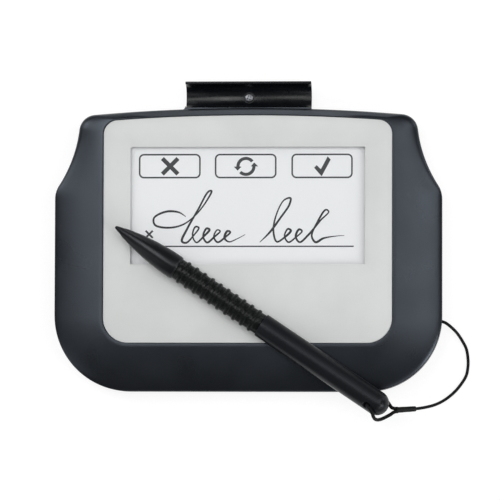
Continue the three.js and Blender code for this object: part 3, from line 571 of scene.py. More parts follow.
def body_outline(inset):
    half, front_centre = front_part(HALF_WIDTH, -HALF_DEPTH, FRONT_RADIUS, -inset)
    flare_centre = Vector((NECK_HALF + FLARE_RADIUS, HALF_DEPTH - FLARE_DROP))
    shoulder_x, reach = HALF_WIDTH - SHOULDER_RADIUS, FLARE_RADIUS + SHOULDER_RADIUS
    turn = acos((flare_centre.x - shoulder_x) / reach)
    shoulder_y = flare_centre.y - reach * sin(turn)
    rear_centre = corner_between(ARCH_CENTRE, ARCH_RADIUS - REAR_RADIUS,
                                 flare_centre, FLARE_RADIUS + REAR_RADIUS)
    to_corner = heading(flare_centre, rear_centre) % (2 * pi)
    side_x = HALF_WIDTH - inset
    half += line(Vector((side_x, front_centre.y)), Vector((side_x, shoulder_y)), SIDE_STEPS)
    half += arc(Vector((shoulder_x, shoulder_y)), SHOULDER_RADIUS - inset, 0, turn, SHOULDER_STEPS)
    half += arc(flare_centre, FLARE_RADIUS + inset, pi + turn, to_corner, FLARE_STEPS)
    return whole(half, rear_centre, REAR_RADIUS - inset, to_corner - pi, ARCH_RADIUS - inset)


SIDE_FROM = EDGE_STEPS + CORNER_STEPS
SIDE_TO = SIDE_FROM + SIDE_STEPS + SHOULDER_STEPS + FLARE_STEPS
SIDE = [p.y for p in body_outline(0)[SIDE_FROM:SIDE_TO + 1]]
SIDE_SHARES = [(y - SIDE[0]) / (SIDE[-1] - SIDE[0]) for y in SIDE[:-1]]


def fascia_outline(outset):
    half, front_centre = front_part(FASCIA_HALF, FASCIA_FRONT_Y, FASCIA_FRONT_RADIUS, outset)
    rear_x = FASCIA_HALF - FASCIA_REAR_RADIUS
    arch_size = ARCH_RADIUS - (HALF_DEPTH - FASCIA_REAR_Y)
    rear_y = ARCH_CENTRE.y + sqrt((arch_size - FASCIA_REAR_RADIUS) ** 2 - rear_x ** 2)
    side_x, side_run = FASCIA_HALF + outset, rear_y - front_centre.y
    half += [Vector((side_x, front_centre.y + side_run * s)) for s in SIDE_SHARES]
    return whole(half, Vector((rear_x, rear_y)), FASCIA_REAR_RADIUS + outset, 0, arch_size + outset)


def level(outline, z):
    return [(x, y, z) for x, y in outline]


def window_ring(outset, radius):
    """Points of the window's outline, set out, that are nearest to the fascia's own points."""
    reach_x, reach_y = WINDOW_HALF_WIDTH + outset, WINDOW_HALF_DEPTH + outset
    points, middle = [], Vector((0, WINDOW_Y))
    for p in fascia_outline(0):
        at = p - middle
        inner = Vector((min(max(at.x, radius - reach_x), reach_x - radius),
                        min(max(at.y, radius - reach_y), reach_y - radius)))
        points.append(inner + (at - inner).normalized() * radius + middle)
    return points


def rim_section(edge, crest):
    """The rim's power from its edge to its crest, and how far the crest falls away."""
    near = min(max((REAR_FROM_X - abs(edge.x)) / REAR_RUN, 0.0), 1.0) if edge.y > 0 else 0.0
    near = near * near * (3 - 2 * near)
    share = min((edge - crest).length / (HALF_WIDTH - FASCIA_HALF), 1.0)
    return 2 / (RIM_POWER + REAR_POWER * near), CREST_SLOPE * (share + (1 - share) * near)


def pillow_rings(inset, side_top, top, steps, land):
    """Rings up a bulged rim, from its side's top edge to the crest line."""
    pairs = [(a, b, *rim_section(a, b)) for a, b in zip(body_outline(inset), fascia_outline(land))]
    loops = []
    for s, c in quarter(steps):
        loop = []
        for a, b, power, fall in pairs:
            inward = 1 - max(c, 0.0) ** power
            upward = s ** power
            upward += (inward - upward) * fall
            loop.append((*a.lerp(b, inward), side_top + (top - side_top) * upward))
        loops.append(loop)
    return loops


# Housing
def pad_fillet(side, radius):
    """Points of the hollow curve from the pad's face out to the rear wall."""
    edge, wall_y = REST_HALF + 0.1, HALF_DEPTH - 0.55
    points = [(side * edge, y) for y in (PAD_FACE_Y, wall_y + radius) if y >= PAD_FACE_Y]
    points += [(side * (edge + radius * (1 - c)), wall_y + radius * (1 - s))
               for s, c in quarter(8)[1:]]
    return points


def housing_shell():
    """Upper moulding, with the pocket for the fascia and the ledge for the display."""
    loops = [level(body_outline(inset), PARTING_Z + away) for inset, away in SEAM]
    loops += pillow_rings(0, EDGE_Z, CREST_Z, 26, FIT_GAP + RIM_LIP)
    for s, c in quarter(4)[1:]:
        edge = fascia_outline(FIT_GAP + RIM_LIP * (1 - s))
        loops.append(level(edge, CREST_Z - RIM_LIP * (1 - c)))
    loops.append(level(fascia_outline(FIT_GAP), POCKET_Z))
    opening = window_ring(LEDGE_SETBACK, LEDGE_RADIUS)
    loops += [level(opening, POCKET_Z), level(opening, LEDGE_Z)]
    loops += reversed(pillow_rings(WALL, EDGE_Z - WALL, LEDGE_Z, 8, FIT_GAP + INNER_LAND))
    loops.append(level(body_outline(WALL), PARTING_Z + SEAM_GAP))
    piece = rings("housing_shell", loops, SHELL, closed=True)
    outline = [(-REST_HALF - 2.0, PAD_BACK_Y), (REST_HALF + 1.0, PAD_BACK_Y)]
    outline += [*reversed(pad_fillet(1, 0.5)), *pad_fillet(-1, 1.5)]
    carve(piece, [rings("pad", [level(outline, z) for z in (PARTING_Z + 0.03, EDGE_Z)], SHELL)],
          "UNION")
    hole = lathe("hole", [(-4.0, 1.5), (3.0, 1.5)], SHELL, CORD_WAY_OUT, 32)
    return carve(piece, [block(*INLET), hole])


def base_cover():
    """Lower moulding, with screw posts, foot recesses and the tongue that carries the rest."""
    loops = [level(body_outline(BASE_FILLET * (1 - s)), BASE_Z + BASE_FILLET * (1 - c))
             for s, c in quarter(5)]
    loops += [level(body_outline(inset), PARTING_Z - away) for inset, away in reversed(SEAM)]
    loops += [level(body_outline(WALL), z) for z in (PARTING_Z - SEAM_GAP, FLOOR_Z)]
    piece = rings("base_cover", loops, SHELL_BASE)
    front, rear, top = HALF_DEPTH - WALL, REST_Y + 4.4, 2.8
    tongue = block(0, (front + rear) / 2, (BASE_Z + top) / 2, 14, rear - front, top - BASE_Z, 0.5)
    posts = drums(CASE_PLACES, CASE_POST, BASE_Z + 0.5, PARTING_Z - 0.03)
    carve(piece, [tongue, *posts], "UNION")
    cuts = drums(CASE_PLACES, CASE_BORE, -1.0, CASE_SEAT_Z)
    cuts += drums(CASE_PLACES, CASE_HOLE, 2.0, PARTING_Z + 1)
    cuts += drums(FOOT_PLACES, FOOT_RECESS, -1.0, BASE_Z + 0.8)
    return carve(piece, [*cuts, block(*INLET)])


def fascia_sheet():
    """Sheet with its outer and its window edge rounded over in two steps."""
    edge, part = FASCIA_EDGE, FASCIA_EDGE * 0.3
    steps = ((0, POCKET_Z), (0, FASCIA_TOP_Z - edge), (part, FASCIA_TOP_Z - part),
             (edge, FASCIA_TOP_Z))
    loops = [level(fascia_outline(-inset), z) for inset, z in steps]
    loops += [level(window_ring(outset, WINDOW_RADIUS + more), z)
              for (outset, z), more in zip(reversed(steps), (0.1, 0.02, 0, 0))]
    return rings("fascia_sheet", loops, FASCIA, closed=True)


# Pen, in its own frame: along from the tip, to its left and up. Profiles are (along, radius).
TIP_X = HALF_WIDTH - 28.801 - HOLE_ALONG * cos(PEN_ANGLE)
TIP_Y = -HALF_DEPTH - 3.111 - HOLE_ALONG * sin(PEN_ANGLE)
NIB_PROFILE = [
    (0, 0.0), (0.03, 0.2), (0.1, 0.38), (0.25, 0.53), (0.5, 0.66), (0.9, 0.8), (1.43, 0.96),
    (2.1, 1.15), (2.66, 1.29), (3.0, 1.35), (3.0, 0.75), (10.0, 0.75), (10.0, 0.0)]
NOSE_KNOTS = [
    (3.0, 1.355), (4.3, 1.87), (5.12, 2.11), (6.76, 2.5), (8.4, 2.85), (10.04, 3.22),
    (11.68, 3.53), (13.3, 3.8), (15.8, 4.16), (18.2, 4.46), (20.7, 4.7), (23.2, 4.91),
    (25.6, 5.03), (27.4, 5.05)]
NOSE_END = [
    (29.7, 5.05), (30.2, 4.99), (30.6, 4.85), (30.85, 4.68), (31.0, 4.5), (31.0, 3.6),
    (24.0, 3.6), (24.0, 1.05)]
GRIP_FROM, GRIP_TO, GRIP_RADIUS, GRIP_BORE = 31.03, 72.3, 4.42, 3.6
RIB_COUNT, FIRST_RIB, RIB_PITCH, RIB_HEIGHT = 10, 34.02, 3.894, 0.63
RIB_FLANK = ((1.15, 0.0), (0.97, 0.05), (0.78, 0.25), (0.6, 0.46), (0.35, 0.6))
BARREL_FROM = 72.33
BARREL_START = [
    (24.3, 0.0), (24.3, 3.2), (24.4, 3.3), (BARREL_FROM, 3.3), (BARREL_FROM, 4.75),
    (BARREL_FROM + 0.08, 4.93), (BARREL_FROM + 0.25, 5.03)]
HOLE_FLANK = [(-6.6, 2.6), (-5.05, 2.0), (-4.75, 1.65), (-4.35, 1.36), (-3.9, 1.2), (-3.4, 1.15)]


def in_pen(along, left, up):
    c, s = cos(PEN_ANGLE), sin(PEN_ANGLE)
    return TIP_X + along * c - left * s, TIP_Y + along * s + left * c, PEN_Z + up


def smooth_through(knots, per_span):
    """Points along a Catmull-Rom curve through (along, radius) knots."""
    points = []
    last = len(knots) - 1
    for i in range(last):
        p0, p1, p2, p3 = [Vector(knots[min(max(i + k, 0), last)]) for k in (-1, 0, 1, 2)]
        for step in range(per_span):
            t = step / per_span
            points.append(tuple(0.5 * (
                2 * p1 + (p2 - p0) * t + (2 * p0 - 5 * p1 + 4 * p2 - p3) * t * t
                + (3 * p1 - p0 - 3 * p2 + p3) * t ** 3)))
    points.append(knots[-1])
    return points


def pen_nose():
    profile = [(3.01, 1.05), *smooth_through(NOSE_KNOTS, 4), *NOSE_END]
    return lathe("stylus_nose", profile, NOSE_SKIN, in_pen, 72, closed=True)


def pen_grip():
    """Sleeve with rounded ribs, which covers the joint of nose and barrel."""
    rib = [(-way, rise) for way, rise in RIB_FLANK] + [(0.0, RIB_HEIGHT), *RIB_FLANK[::-1]]
    profile = [(GRIP_FROM, GRIP_BORE), (GRIP_FROM, 4.3), (GRIP_FROM + 0.15, GRIP_RADIUS)]
    for number in range(RIB_COUNT):
        middle = FIRST_RIB + RIB_PITCH * number
        profile += [(middle + way, GRIP_RADIUS + rise) for way, rise in rib]
    profile += [(GRIP_TO - 0.15, GRIP_RADIUS), (GRIP_TO, 4.3), (GRIP_TO, GRIP_BORE)]
    return lathe("stylus_grip", profile, GRIP, in_pen, 72, closed=True, sharp=50)


def pen_barrel():
    """Barrel with a spigot into the grip, a domed tail and the slanting hole across it."""
    full, dome, steps = BARREL_FROM + 0.45, PEN_LENGTH - PEN_RADIUS, 20
    profile = [(full + (dome - full) * i / steps, PEN_RADIUS) for i in range(steps)]
    profile += [(dome + PEN_RADIUS * s, PEN_RADIUS * c) for s, c in quarter(steps)[:-1]]
    profile = [*BARREL_START, *profile, (PEN_LENGTH, 0.0)]
    body = lathe("stylus_barrel", profile, PEN_SKIN, in_pen, 72)
    cut = HOLE_FLANK + [(-along, radius) for along, radius in reversed(HOLE_FLANK)]

    def across_pen(along, across, up):
        c, s = cos(HOLE_TILT), sin(HOLE_TILT)
        return in_pen(HOLE_ALONG + across, along * c + up * s, up * c - along * s)

    return carve(body, [lathe("bore", cut, PEN_SKIN, across_pen, 40)])


# Tether: tubes along smooth curves through the same points as the solids
CORD_ROUTE = [
    (1.3, 28.5, 6.6), (3.6, 26.8, 5.5), (6.1, 24.3, 3.7), (8.2, 21.2, 2), (9.85, 17.9, 0.9),
    (10.5, 14.2, 0.65), (10.55, 10.9, 0.65), (9.9, 7.2, 0.65), (8.4, 4.4, 0.65), (5.7, 0.9, 0.65),
    (2.9, -1.7, 1), (-0.3, -3.9, 2.9), (-3.6, -5.4, 5.8), (-7, -6.3, 8.8), (-9.2, -6.7, 10.5),
]
LOOP_ROUTE = [
    (10.42, 0.5, -4.03), (9.95, -0.75, -3.98), (9.3, -2.05, -3.65), (8.57, -3.4, -2.93),
    (7.68, -4.77, -1.77), (6.75, -5.61, -0.32), (5.83, -5.83, 1.31), (4.88, -5.44, 2.88),
    (3.8, -4.58, 4.12), (2.36, -3.81, 4.62), (0.55, -3.18, 3.99), (-0.3, -2.28, 2.61),
    (-0.37, -0.99, 1.04), (-0.39, 0.37, -0.4), (-0.3, 1.74, -1.84), (0.3, 2.93, -3.32),
    (1.75, 3.7, -4.4), (3.6, 3.5, -4.85), (5.6, 2.95, -4.85), (7.4, 2.25, -4.65),
    (8.45, 1.85, -4.4), (9.3, 1.9, -4.2),
]
STRAND_OFFSET = 0.62


def from_corner(right, rear, up):
    return Vector((HALF_WIDTH + right, rear - HALF_DEPTH, up))


MOUTH = from_corner(-18.8, -7.5, 14.6)
FERRULE_END = from_corner(-10.7, -6.9, 11.4)
FERRULE_WAY = (FERRULE_END - MOUTH).normalized()
FERRULE_SIDE = Vector((-FERRULE_WAY.y, FERRULE_WAY.x, 0)).normalized()


def centripetal(points, per_span):
    """Points along a centripetal Catmull-Rom curve through points."""
    held = [points[0] * 2 - points[1], *points, points[-1] * 2 - points[-2]]
    out = []
    for i in range(1, len(held) - 2):
        p0, p1, p2, p3 = held[i - 1:i + 3]
        t1 = (p1 - p0).length ** 0.5
        t2 = t1 + (p2 - p1).length ** 0.5
        t3 = t2 + (p3 - p2).length ** 0.5
        for step in range(per_span):
            t = t1 + (t2 - t1) * step / per_span
            a1 = p0 * ((t1 - t) / t1) + p1 * (t / t1)
            a2 = p1 * ((t2 - t) / (t2 - t1)) + p2 * ((t - t1) / (t2 - t1))
            a3 = p2 * ((t3 - t) / (t3 - t2)) + p3 * ((t - t2) / (t3 - t2))
            b1 = a1 * ((t2 - t) / t2) + a2 * (t / t2)
            b2 = a2 * ((t3 - t) / (t3 - t1)) + a3 * ((t - t1) / (t3 - t1))
            out.append(b1 * ((t2 - t) / (t2 - t1)) + b2 * ((t - t1) / (t2 - t1)))
    out.append(points[-1].copy())
    return out


def ways_along(path):
    """The path's direction at each of its points."""
    last = len(path) - 1
    return [(path[min(i + 1, last)] - path[max(i - 1, 0)]).normalized() for i in range(last + 1)]


def tube(name, path, radius):
    """Round tube along a path, with no twist."""
    ways = ways_along(path)
    side = ways[0].orthogonal().normalized()
    loops = []
    for p, way in zip(path, ways):
        side = (side - way * side.dot(way)).normalized()
        other = way.cross(side)
        loops.append([tuple(p + side * radius * c + other * radius * s) for c, s in circle(16)])
    return rings(name, loops, CORD)


def free_cord():
    """The cord's piece, whose ends reach into its fittings, and its route between them."""
    face = Vector((WALL_SIDE_X - GLAND_RECESS, CORD_EXIT_Y, CORD_EXIT_Z))
    start = face + Vector((FIT_GAP, 0, 0))
    end = FERRULE_END + FERRULE_WAY * FIT_GAP
    route = centripetal([start, *[from_corner(*p) for p in CORD_ROUTE], end], 8)
    shown = [face - Vector((0.9, 0, 0)), *route, FERRULE_END - FERRULE_WAY * 0.7]
    return tube("tether_line", shown, CORD_RADIUS), [face, *route, FERRULE_END]


def tether_loop():
    route = [Vector(in_pen(HOLE_ALONG + a, b, c)) for a, b, c in LOOP_ROUTE]
    root = MOUTH - FERRULE_WAY * FIT_GAP
    start, end = root - FERRULE_SIDE * STRAND_OFFSET, root + FERRULE_SIDE * STRAND_OFFSET
    inside = FERRULE_WAY * 1.1
    path = [start + inside, *centripetal([start, *route, end], 6), end + inside]
    return tube("tether_eye", path, LOOP_RADIUS)


def tether_ferrule():
    """Crimped sleeve: an oval tube pressed a little at two places, with rolled edges."""
    length = (FERRULE_END - MOUTH).length
    up = FERRULE_WAY.cross(FERRULE_SIDE)
    steps, bore = 40, 0.66

    def ring(along, wide, high):
        return [tuple(MOUTH + FERRULE_WAY * along + FERRULE_SIDE * wide * c + up * high * s)
                for c, s in circle(40)]

    loops = [ring(0.9, 1.08, 0.7), ring(0.1, 1.1, 0.74), ring(0.0, 1.16, 0.86)]
    for i in range(steps + 1):
        along = 0.12 + (length - 0.7) * i / steps
        press = max(exp(-((along - length * c) / 0.8) ** 4) for c in (0.3, 0.68))
        slim = 0.1 * i / steps
        loops.append(ring(along, 1.2 - slim + 0.02 * press, 1.1 - slim - 0.1 * press))
    loops += [ring(length - 0.5 + 0.5 * s, 0.74 + 0.36 * c, 0.72 + 0.28 * c)
              for s, c in quarter(5)[1:]]
    loops += [ring(length, bore, bore), ring(length - 1.0, bore, bore)]
    return rings("tether_crimp", loops, FERRULE)


def cord_gland():
    """Grommet with a rounded lip and a bore for the cord."""
    profile = [(-4.0, 1.2), (-0.25, 1.2), (-0.08, 1.15), (0, 1.04), (0, 0.88), (-0.06, 0.77),
               (-0.2, 0.68), (-1.6, 0.68), (-1.6, 0.02), (-4.0, 0.02)]
    profile = [(along - GLAND_RECESS, radius) for along, radius in profile]
    return lathe("cord_grommet", profile, RUBBER, CORD_WAY_OUT, 40, closed=True)


def rest_channel():
    """Half round channel with rounded lips, and a seat and a hole for the screw in its floor."""
    back = PAD_FACE_Y + FIT_GAP - REST_Y
    lip = (REST_OUTER - REST_INNER) / 2
    section = sweep(REST_Y, REST_Z, REST_INNER, -acos(back / REST_INNER), 0, 28)
    section += sweep(REST_Y + REST_INNER + lip, REST_Z + REST_LIP_RISE - lip, lip, pi, 0, 8)
    section += sweep(REST_Y, REST_Z, REST_OUTER, 0, -acos(back / REST_OUTER), 32)
    centre, between = Vector((REST_Y, REST_Z)), (REST_INNER + REST_OUTER) / 2
    ends = [(REST_HALF, 0.16), (REST_HALF - 0.05, 0.07), (REST_HALF - 0.16, 0.0)]
    loops = [[(x, *p.lerp(centre + (p - centre).normalized() * between, shrink / 0.65))
              for p in map(Vector, section)]
             for x, shrink in [(-x, shrink) for x, shrink in ends] + ends[::-1]]
    piece = rings("rest_channel", loops, GLOSS)
    middle = [(0, REST_Y)]
    return carve(piece, drums(middle, 2.3, REST_SEAT_Z, 9.0) + drums(middle, 1.3, 0.5, 5.0))


# Screws, feet and data socket
def screw_head(name, x, y, seat_z, way, head, height, shank, length, material=STEEL):
    """Pan head with a cross recess, on a threaded shank. way is 1 up and -1 towards the desk."""
    tip, turns = shank * 0.6, 10
    pitch = (length - tip) / turns
    profile = [(-length, 0.0), (-length, shank * 0.5), (tip - length, shank)]
    for i in range(turns):
        at = tip - length + pitch * i
        profile += [(at + pitch * 0.35, shank * 0.8), (at + pitch * 0.85, shank)]
    profile += [(0.0, shank), (0.0, head), (height * 0.2, head)]
    profile += [(height * (0.2 + 0.8 * s), head * (0.35 + 0.65 * c)) for s, c in quarter(8)[1:]]
    profile.append((height, 0.0))
    profile = [(seat_z + way * along, radius) for along, radius in profile]
    piece = lathe(name, profile, material, upright(x, y), 40, sharp=30)
    top, wide, half = seat_z + height * way, head * 0.62, head * 0.15

    def arm(turn):
        """One arm of the cross recess, narrowing as it goes down."""
        c, s = cos(turn), sin(turn)
        ends = (wide * 0.45, top - height * 0.62 * way), (wide, top + 0.3 * way)
        loops = [[(x + a * i * c - half * j * s, y + a * i * s + half * j * c, z)
                  for i, j in ((-1, -1), (1, -1), (1, 1), (-1, 1))] for a, z in ends]
        return rings("arm", loops, STEEL)

    return carve(piece, [arm(radians(25)), arm(radians(115))])


def foot(name, x, y):
    """Rubber foot with a rounded rim and a shallow dish in its face."""
    rim, top = 0.5, 1.8
    profile = [(top, 0.0), (top, FOOT_RADIUS), (rim, FOOT_RADIUS)]
    profile += [(rim - rim * s, FOOT_RADIUS - rim + rim * c) for s, c in quarter(6)[1:]]
    profile += [(0.0, 3.9), (0.12, 3.6), (0.16, 2.0), (0.16, 0.0)]
    return lathe(name, profile, RUBBER, upright(x, y), 56)


def data_socket():
    """Folded metal shell, and the contact tongue and five contacts in its mouth."""
    mouth_y, back_y, floor_y = 52.7, 46.1, 47.7
    half_width, half_height, sheet = 3.85, 1.95, 0.35
    sections = [(0, 0.7, back_y), (0, 0.7, mouth_y - 0.1), (0.05, 0.66, mouth_y),
                (sheet - 0.05, 0.42, mouth_y), (sheet, 0.38, mouth_y - 0.12),
                (sheet, 0.38, floor_y)]
    forms = [(half_width - inset, half_height - inset, radius, y) for inset, radius, y in sections]
    forms += [(0.02, 0.02, 0.01, floor_y), (0.02, 0.02, 0.01, back_y)]
    loops = [[(SOCKET_X + px, y, SOCKET_Z + pz) for px, pz in rounded(*form, 6)]
             for *form, y in forms]
    shell = rings("socket_shell", loops, SHEET_STEEL, closed=True)
    tongue = block(SOCKET_X, 49.9, SOCKET_Z, 4.6, 4.4, 0.9, 0.15, CHIP, "socket_tongue")
    contacts = [block(SOCKET_X + (i - 2) * 0.85, 50.2, SOCKET_Z + 0.47, 0.42, 3.6, 0.08, 0.03, GOLD,
                      f"socket_contact_{i + 1}") for i in range(5)]
    return shell, tongue, contacts


# Display graphics: thin printed forms above the display's face
GRAPHIC_Z = SENSOR_TOP_Z + 0.004
GRAPHIC_TOP_Z = GRAPHIC_Z + 0.02
KEY_SPANS = ((-45.14, -19.52), (-13.68, 11.82), (17.94, 43.24))
KEY_FRONT, KEY_REAR, KEY_RADIUS, KEY_LINE = 29.4, 39.55, 2.1, 0.66
ARROW_X, ARROW_Y, ARROW_INNER, ARROW_OUTER = -0.81, 34.32, 2.65, 3.95
# Each arrow's angles in degrees, and the corners of its head
ARROWS = ((38, 181, [(-5.02, -0.15), (-3.43, -1.75), (-1.9, -0.15)]),
          (225, 360, [(5.05, 0.0), (3.39, 1.62), (2.0, 0.0)]))
TICK = [(27.32, 33.71), (30.44, 30.18), (34.14, 37.07), (32.9, 38.39), (30.11, 33.13),
        (28.38, 34.78)]
SIGNING_LINE = [(-36.0, 1.025), (43.7, 1.025), (43.7, 1.575), (-36.0, 1.575)]


def key_frame(left, right):
    """The round-cornered outline of a soft key, as an outer and an inner loop."""
    x, y = (left + right) / 2, (KEY_FRONT + KEY_REAR) / 2
    reach_x, reach_y = (right - left) / 2, (KEY_REAR - KEY_FRONT) / 2
    return [[(x + a, y + b)
             for a, b in rounded(reach_x - inset, reach_y - inset, KEY_RADIUS - inset, 8)]
            for inset in (0, KEY_LINE)]


def cross_plate(x, y, reach, half):
    """A slanting cross as one outline."""
    corners = [(reach, -half), (reach, half), (half, half), (half, reach), (-half, reach),
               (-half, half)]
    corners += [(-a, -b) for a, b in corners]
    lean = sqrt(0.5)
    return [(x + (a - b) * lean, y + (a + b) * lean) for a, b in corners]


def arrow_plate(start, end, head):
    """An arc of a ring from start to end, with a head at its end, as one outline."""
    outer, inner = [sweep(ARROW_X, ARROW_Y, radius, radians(start), radians(end), 24)
                    for radius in (ARROW_OUTER, ARROW_INNER)]
    return outer + [(ARROW_X + a, ARROW_Y + b) for a, b in head] + inner[::-1]


def display_graphics():
    """One piece from several flat plates: frames, then plain outlines."""
    outlines = [cross_plate(-32.17, 34.42, 4.57, 0.865)]
    outlines += [arrow_plate(*arrow) for arrow in ARROWS]
    outlines += [TICK, SIGNING_LINE, cross_plate(-40.75, 6.3, 2.1, 0.4)]
    points, faces = [], []
    for outer, *inner in [key_frame(*span) for span in KEY_SPANS] + [[loop] for loop in outlines]:
        loops = [level(outer, GRAPHIC_Z), level(outer, GRAPHIC_TOP_Z)]
        loops += [level(hole, z) for hole in inner for z in (GRAPHIC_TOP_Z, GRAPHIC_Z)]
        faces += joined(loops, bool(inner), len(points))
        points += [p for ring in loops for p in ring]
    return mesh_from("display_marks", points, faces, INK, sharp=20.0, weld=0.0)


SCRIBBLE_STROKES = (
    [(-25.6, 13.6), (-28.6, 15.4), (-34.0, 15.6), (-38.8, 13.0), (-38.4, 10.2), (-33.2, 9.0),
     (-27.0, 10.2), (-21.8, 14.0), (-17.2, 19.8), (-15.0, 24.2), (-16.2, 24.0), (-20.6, 16.4),
     (-25.0, 8.6), (-27.2, 3.4), (-25.4, 2.8), (-22.2, 6.0), (-20.2, 9.0), (-21.6, 9.4),
     (-22.8, 5.8), (-21.2, 2.9), (-18.2, 5.4), (-15.8, 8.2), (-17.0, 8.7), (-18.4, 5.4),
     (-16.8, 2.9), (-13.8, 5.2), (-11.4, 7.6), (-12.6, 8.1), (-14.0, 5.2), (-12.4, 3.0),
     (-9.4, 5.0), (-7.2, 7.2), (-8.4, 7.6), (-9.6, 4.8), (-7.8, 3.2), (-4.4, 4.4), (-1.0, 6.2)],
    [(5.0, 3.0), (9.0, 7.0), (13.6, 13.2), (17.2, 18.6), (17.6, 21.2), (15.0, 20.4), (11.8, 14.4),
     (10.6, 7.6), (12.0, 3.2), (15.2, 5.0), (17.8, 7.8), (16.6, 8.5), (15.2, 5.6), (16.8, 3.0),
     (19.8, 5.0), (22.4, 7.6), (21.2, 8.3), (19.8, 5.4), (21.4, 3.0), (25.0, 6.0), (30.0, 12.0),
     (33.4, 15.6), (32.2, 16.4), (28.6, 11.0), (26.4, 5.6), (28.0, 3.0), (31.2, 4.6), (35.4, 5.4),
     (39.8, 5.8)],
)


def scribble(number, points):
    """A running line of uneven loops, which spells nothing."""
    path = centripetal([Vector((x, y, 0.0)) for x, y in points], 8)
    loops = []
    for i, (p, way) in enumerate(zip(path, ways_along(path))):
        share = i / (len(path) - 1)
        ends = min(1.0, 0.4 + 14 * share, 0.3 + 9 * (1 - share))
        half = ends * (0.38 + 0.06 * sin(23 * share) + 0.04 * sin(57 * share))
        side = Vector((-way.y, way.x, 0.0)) * half
        low, high = GRAPHIC_Z, GRAPHIC_Z + 0.012 + 0.03 * share
        left, right = (p.x + side.x, p.y + side.y), (p.x - side.x, p.y - side.y)
        loops.append([(*left, low), (*right, low), (*right, high), (*left, high)])
    return rings(f"display_scribble_{number}", loops, STROKE_INK)


def dress(piece, slot, *nodes, body="housing"):
    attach(piece, body)
    if nodes:
        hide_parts(*nodes)


# Tether first, then the rest
cord_piece, cord_path = free_cord()
loop_piece = tether_loop()
crimp_piece = tether_ferrule()
dress(loop_piece, "cord_black", "tether_loop", body="loop")
dress(crimp_piece, "pen_plastic", "tether_ferrule", body="tether_end")
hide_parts("tether_cord")
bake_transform(cord_piece)

dress(housing_shell(), "textured_shell", "front_housing")
dress(base_cover(), "textured_shell", "rear_cover")
dress(fascia_sheet(), "fascia_sheet", "fascia")
dress(rest_channel(), "gloss_black", "pen_rest")
rest_screw = screw_head("rest_screw", 0, REST_Y, REST_SEAT_Z, way=1, head=2.0, height=0.9,
                        shank=1.0, length=2.7, material=REST_STEEL)
dress(rest_screw, "screw_steel", "pen_rest_screw")
dress(cord_gland(), "rubber", "tether_gland")
for number, (x, y) in enumerate(CASE_PLACES, 1):
    screw = screw_head(f"base_screw_{number}", x, y, CASE_SEAT_Z, way=-1, head=2.3, height=1.2,
                       shank=1.1, length=6.4)
    dress(screw, "screw_steel", f"case_screw_{number}")
for number, (x, y) in enumerate(FOOT_PLACES, 1):
    dress(foot(f"desk_foot_{number}", x, y), "rubber", f"rubber_foot_{number}")
socket_shell, socket_tongue, socket_contacts = data_socket()
dress(socket_shell, "sheet_steel", "usb_socket")
dress(socket_tongue, "connector_body")
for contact in socket_contacts:
    dress(contact, "crimp_brass")
dress(display_graphics(), "display")
for number, stroke in enumerate(SCRIBBLE_STROKES, 1):
    dress(scribble(number, stroke), "display")
nib = lathe("stylus_nib", NIB_PROFILE, PEN_SKIN, in_pen, 48)
dress(nib, "pen_plastic", "pen_nib", body="pen")
dress(pen_nose(), "pen_plastic", "pen_nose", body="pen")
dress(pen_grip(), "pen_grip_rubber", "pen_grip", body="pen")
dress(pen_barrel(), "pen_plastic", "pen_barrel", body="pen")

# Materials of the solids that stay. Those not named are screws.
FINISHES = {
    "sensor_gasket": RUBBER, "touch_sensor": DISPLAY, "lcd_panel": DISPLAY,
    "lcd_backlight": LIGHT_GUIDE, "lcd_tray": SHEET_STEEL, "lcd_cable": FLAT_CABLE,
    "sensor_cable": FLAT_CABLE, "main_board": BOARD, "controller_chip": CHIP,
    "interface_chip": CHIP, "clock_crystal": SHEET_STEEL, "lcd_connector": CONNECTOR,
    "sensor_connector": CONNECTOR, "tether_stop": BRASS,
}
for name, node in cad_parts.items():
    if not node.hide_render:
        node.data.materials.clear()
        node.data.materials.append(FINISHES.get(name, STEEL))


# Floor, light and backdrop. Azimuth 0 is the object's right, 90 its rear.
LAMP_DISTANCE = 1.2
LAMP_SIZE = 0.45
AMBIENT = 0.15
FLOOR_REACH = 2500.0
# Name, angle from straight above, azimuth and power
LAMPS = (
    ("top_right", 14, 0, 0.4), ("top_rear", 14, 30, 0.6), ("key", 14, 150, 1.6),
    ("fill_right", 28, 0, 0.9), ("fill_rear_right", 28, 30, 0.4), ("fill_rear", 28, 120, 1.6),
    ("fill_left", 28, 150, 0.6), ("low_right", 42, 30, 1.0), ("low_left", 42, 150, 0.9),
    ("low_front", 42, 210, 0.3), ("side_rear", 58, 120, 0.4), ("side_left", 58, 150, 1.6),
    ("side_front_left", 58, 210, 0.3), ("side_front", 58, 300, 1.0),
    ("side_front_right", 58, 330, 3.5), ("edge_rear", 76, 90, 1.3),
    ("edge_front_left", 76, 210, 0.5), ("edge_front", 76, 270, 0.4), ("edge_right", 76, 330, 0.6),
    ("edge_rear_right", 76, 30, 1.0), ("edge_rear_left", 76, 150, 0.4),
)


def combined(tree, operation, *values):
    node = add_node(tree, "Math")
    node.operation = operation
    for socket, value in zip(node.inputs, values):
        give(socket, value)
    return node.outputs["Value"]


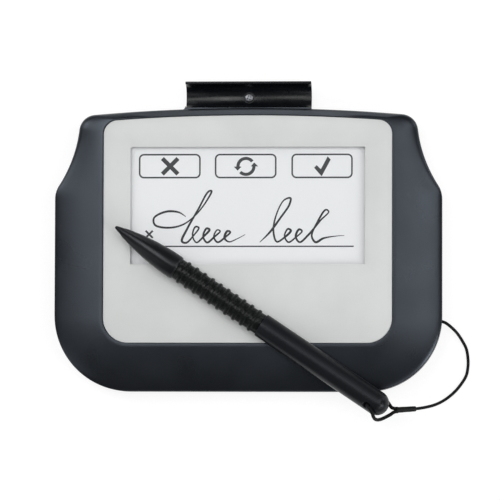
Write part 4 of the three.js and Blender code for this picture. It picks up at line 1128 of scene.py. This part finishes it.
def camera_white(name, colour, share, lift):
    """Takes the object's shadow, mixed with white where the camera or a mirror sees it."""
    material, tree, shader = new_material(name, colour, roughness=0.9, Specular_IOR_Level=0.0)
    low, high = linear([c * 0.996 for c in colour]), linear(colour)
    fill(shader, Base_Color=ramp(tree, noise(tree, 6.0, detail=2.0), low, high))
    rays = add_node(tree, "LightPath").outputs
    shown = combined(tree, "MAXIMUM", rays["Is Camera Ray"], rays["Is Glossy Ray"])
    shown = combined(tree, "MAXIMUM", shown, rays["Is Transmission Ray"])
    glow = add_node(tree, "Emission", Color=(1, 1, 1, 1), Strength=lift)
    both = add_node(tree, "MixShader", Fac=combined(tree, "MULTIPLY", shown, share))
    give(both.inputs[1], shader.outputs["BSDF"])
    give(both.inputs[2], glow.outputs["Emission"])
    fill(tree.nodes["Material Output"], Surface=both.outputs["Shader"])
    return material


def add_floor():
    corners = [(FLOOR_REACH * x, FLOOR_REACH * y, 0.0)
               for x, y in ((-1, -1), (1, -1), (1, 1), (-1, 1))]
    white = camera_white("floor_white", (205, 205, 205), share=0.65, lift=1.3)
    mesh_from("floor", corners, [(0, 1, 2, 3)], white)


def add_lamp(name, zenith, azimuth, power):
    """A round lamp that faces the object."""
    data = bpy.data.lights.new(name, "AREA")
    data.shape = "DISK"
    data.size = LAMP_SIZE
    data.energy = power
    lamp = add_object(name, data)
    lamp.visible_camera = False
    across, around = radians(zenith), radians(azimuth)
    way = Vector((sin(across) * cos(around), sin(across) * sin(around), cos(across)))
    lamp.location = way * LAMP_DISTANCE
    lamp.rotation_mode = "QUATERNION"
    lamp.rotation_quaternion = (-way).to_track_quat("-Z", "Y")


def add_world():
    world = bpy.data.worlds.new("studio")
    bpy.context.scene.world = world
    world.use_nodes = True
    tree = world.node_tree
    rays = add_node(tree, "LightPath").outputs
    shown = combined(tree, "MAXIMUM", rays["Is Camera Ray"], rays["Is Transmission Ray"])
    strength = add_node(tree, "MapRange", Value=shown, To_Min=AMBIENT, To_Max=1.0)
    fill(tree.nodes["Background"], Color=(1, 1, 1, 1), Strength=strength.outputs["Result"])


add_floor()
add_world()
for lamp in LAMPS:
    add_lamp(*lamp)
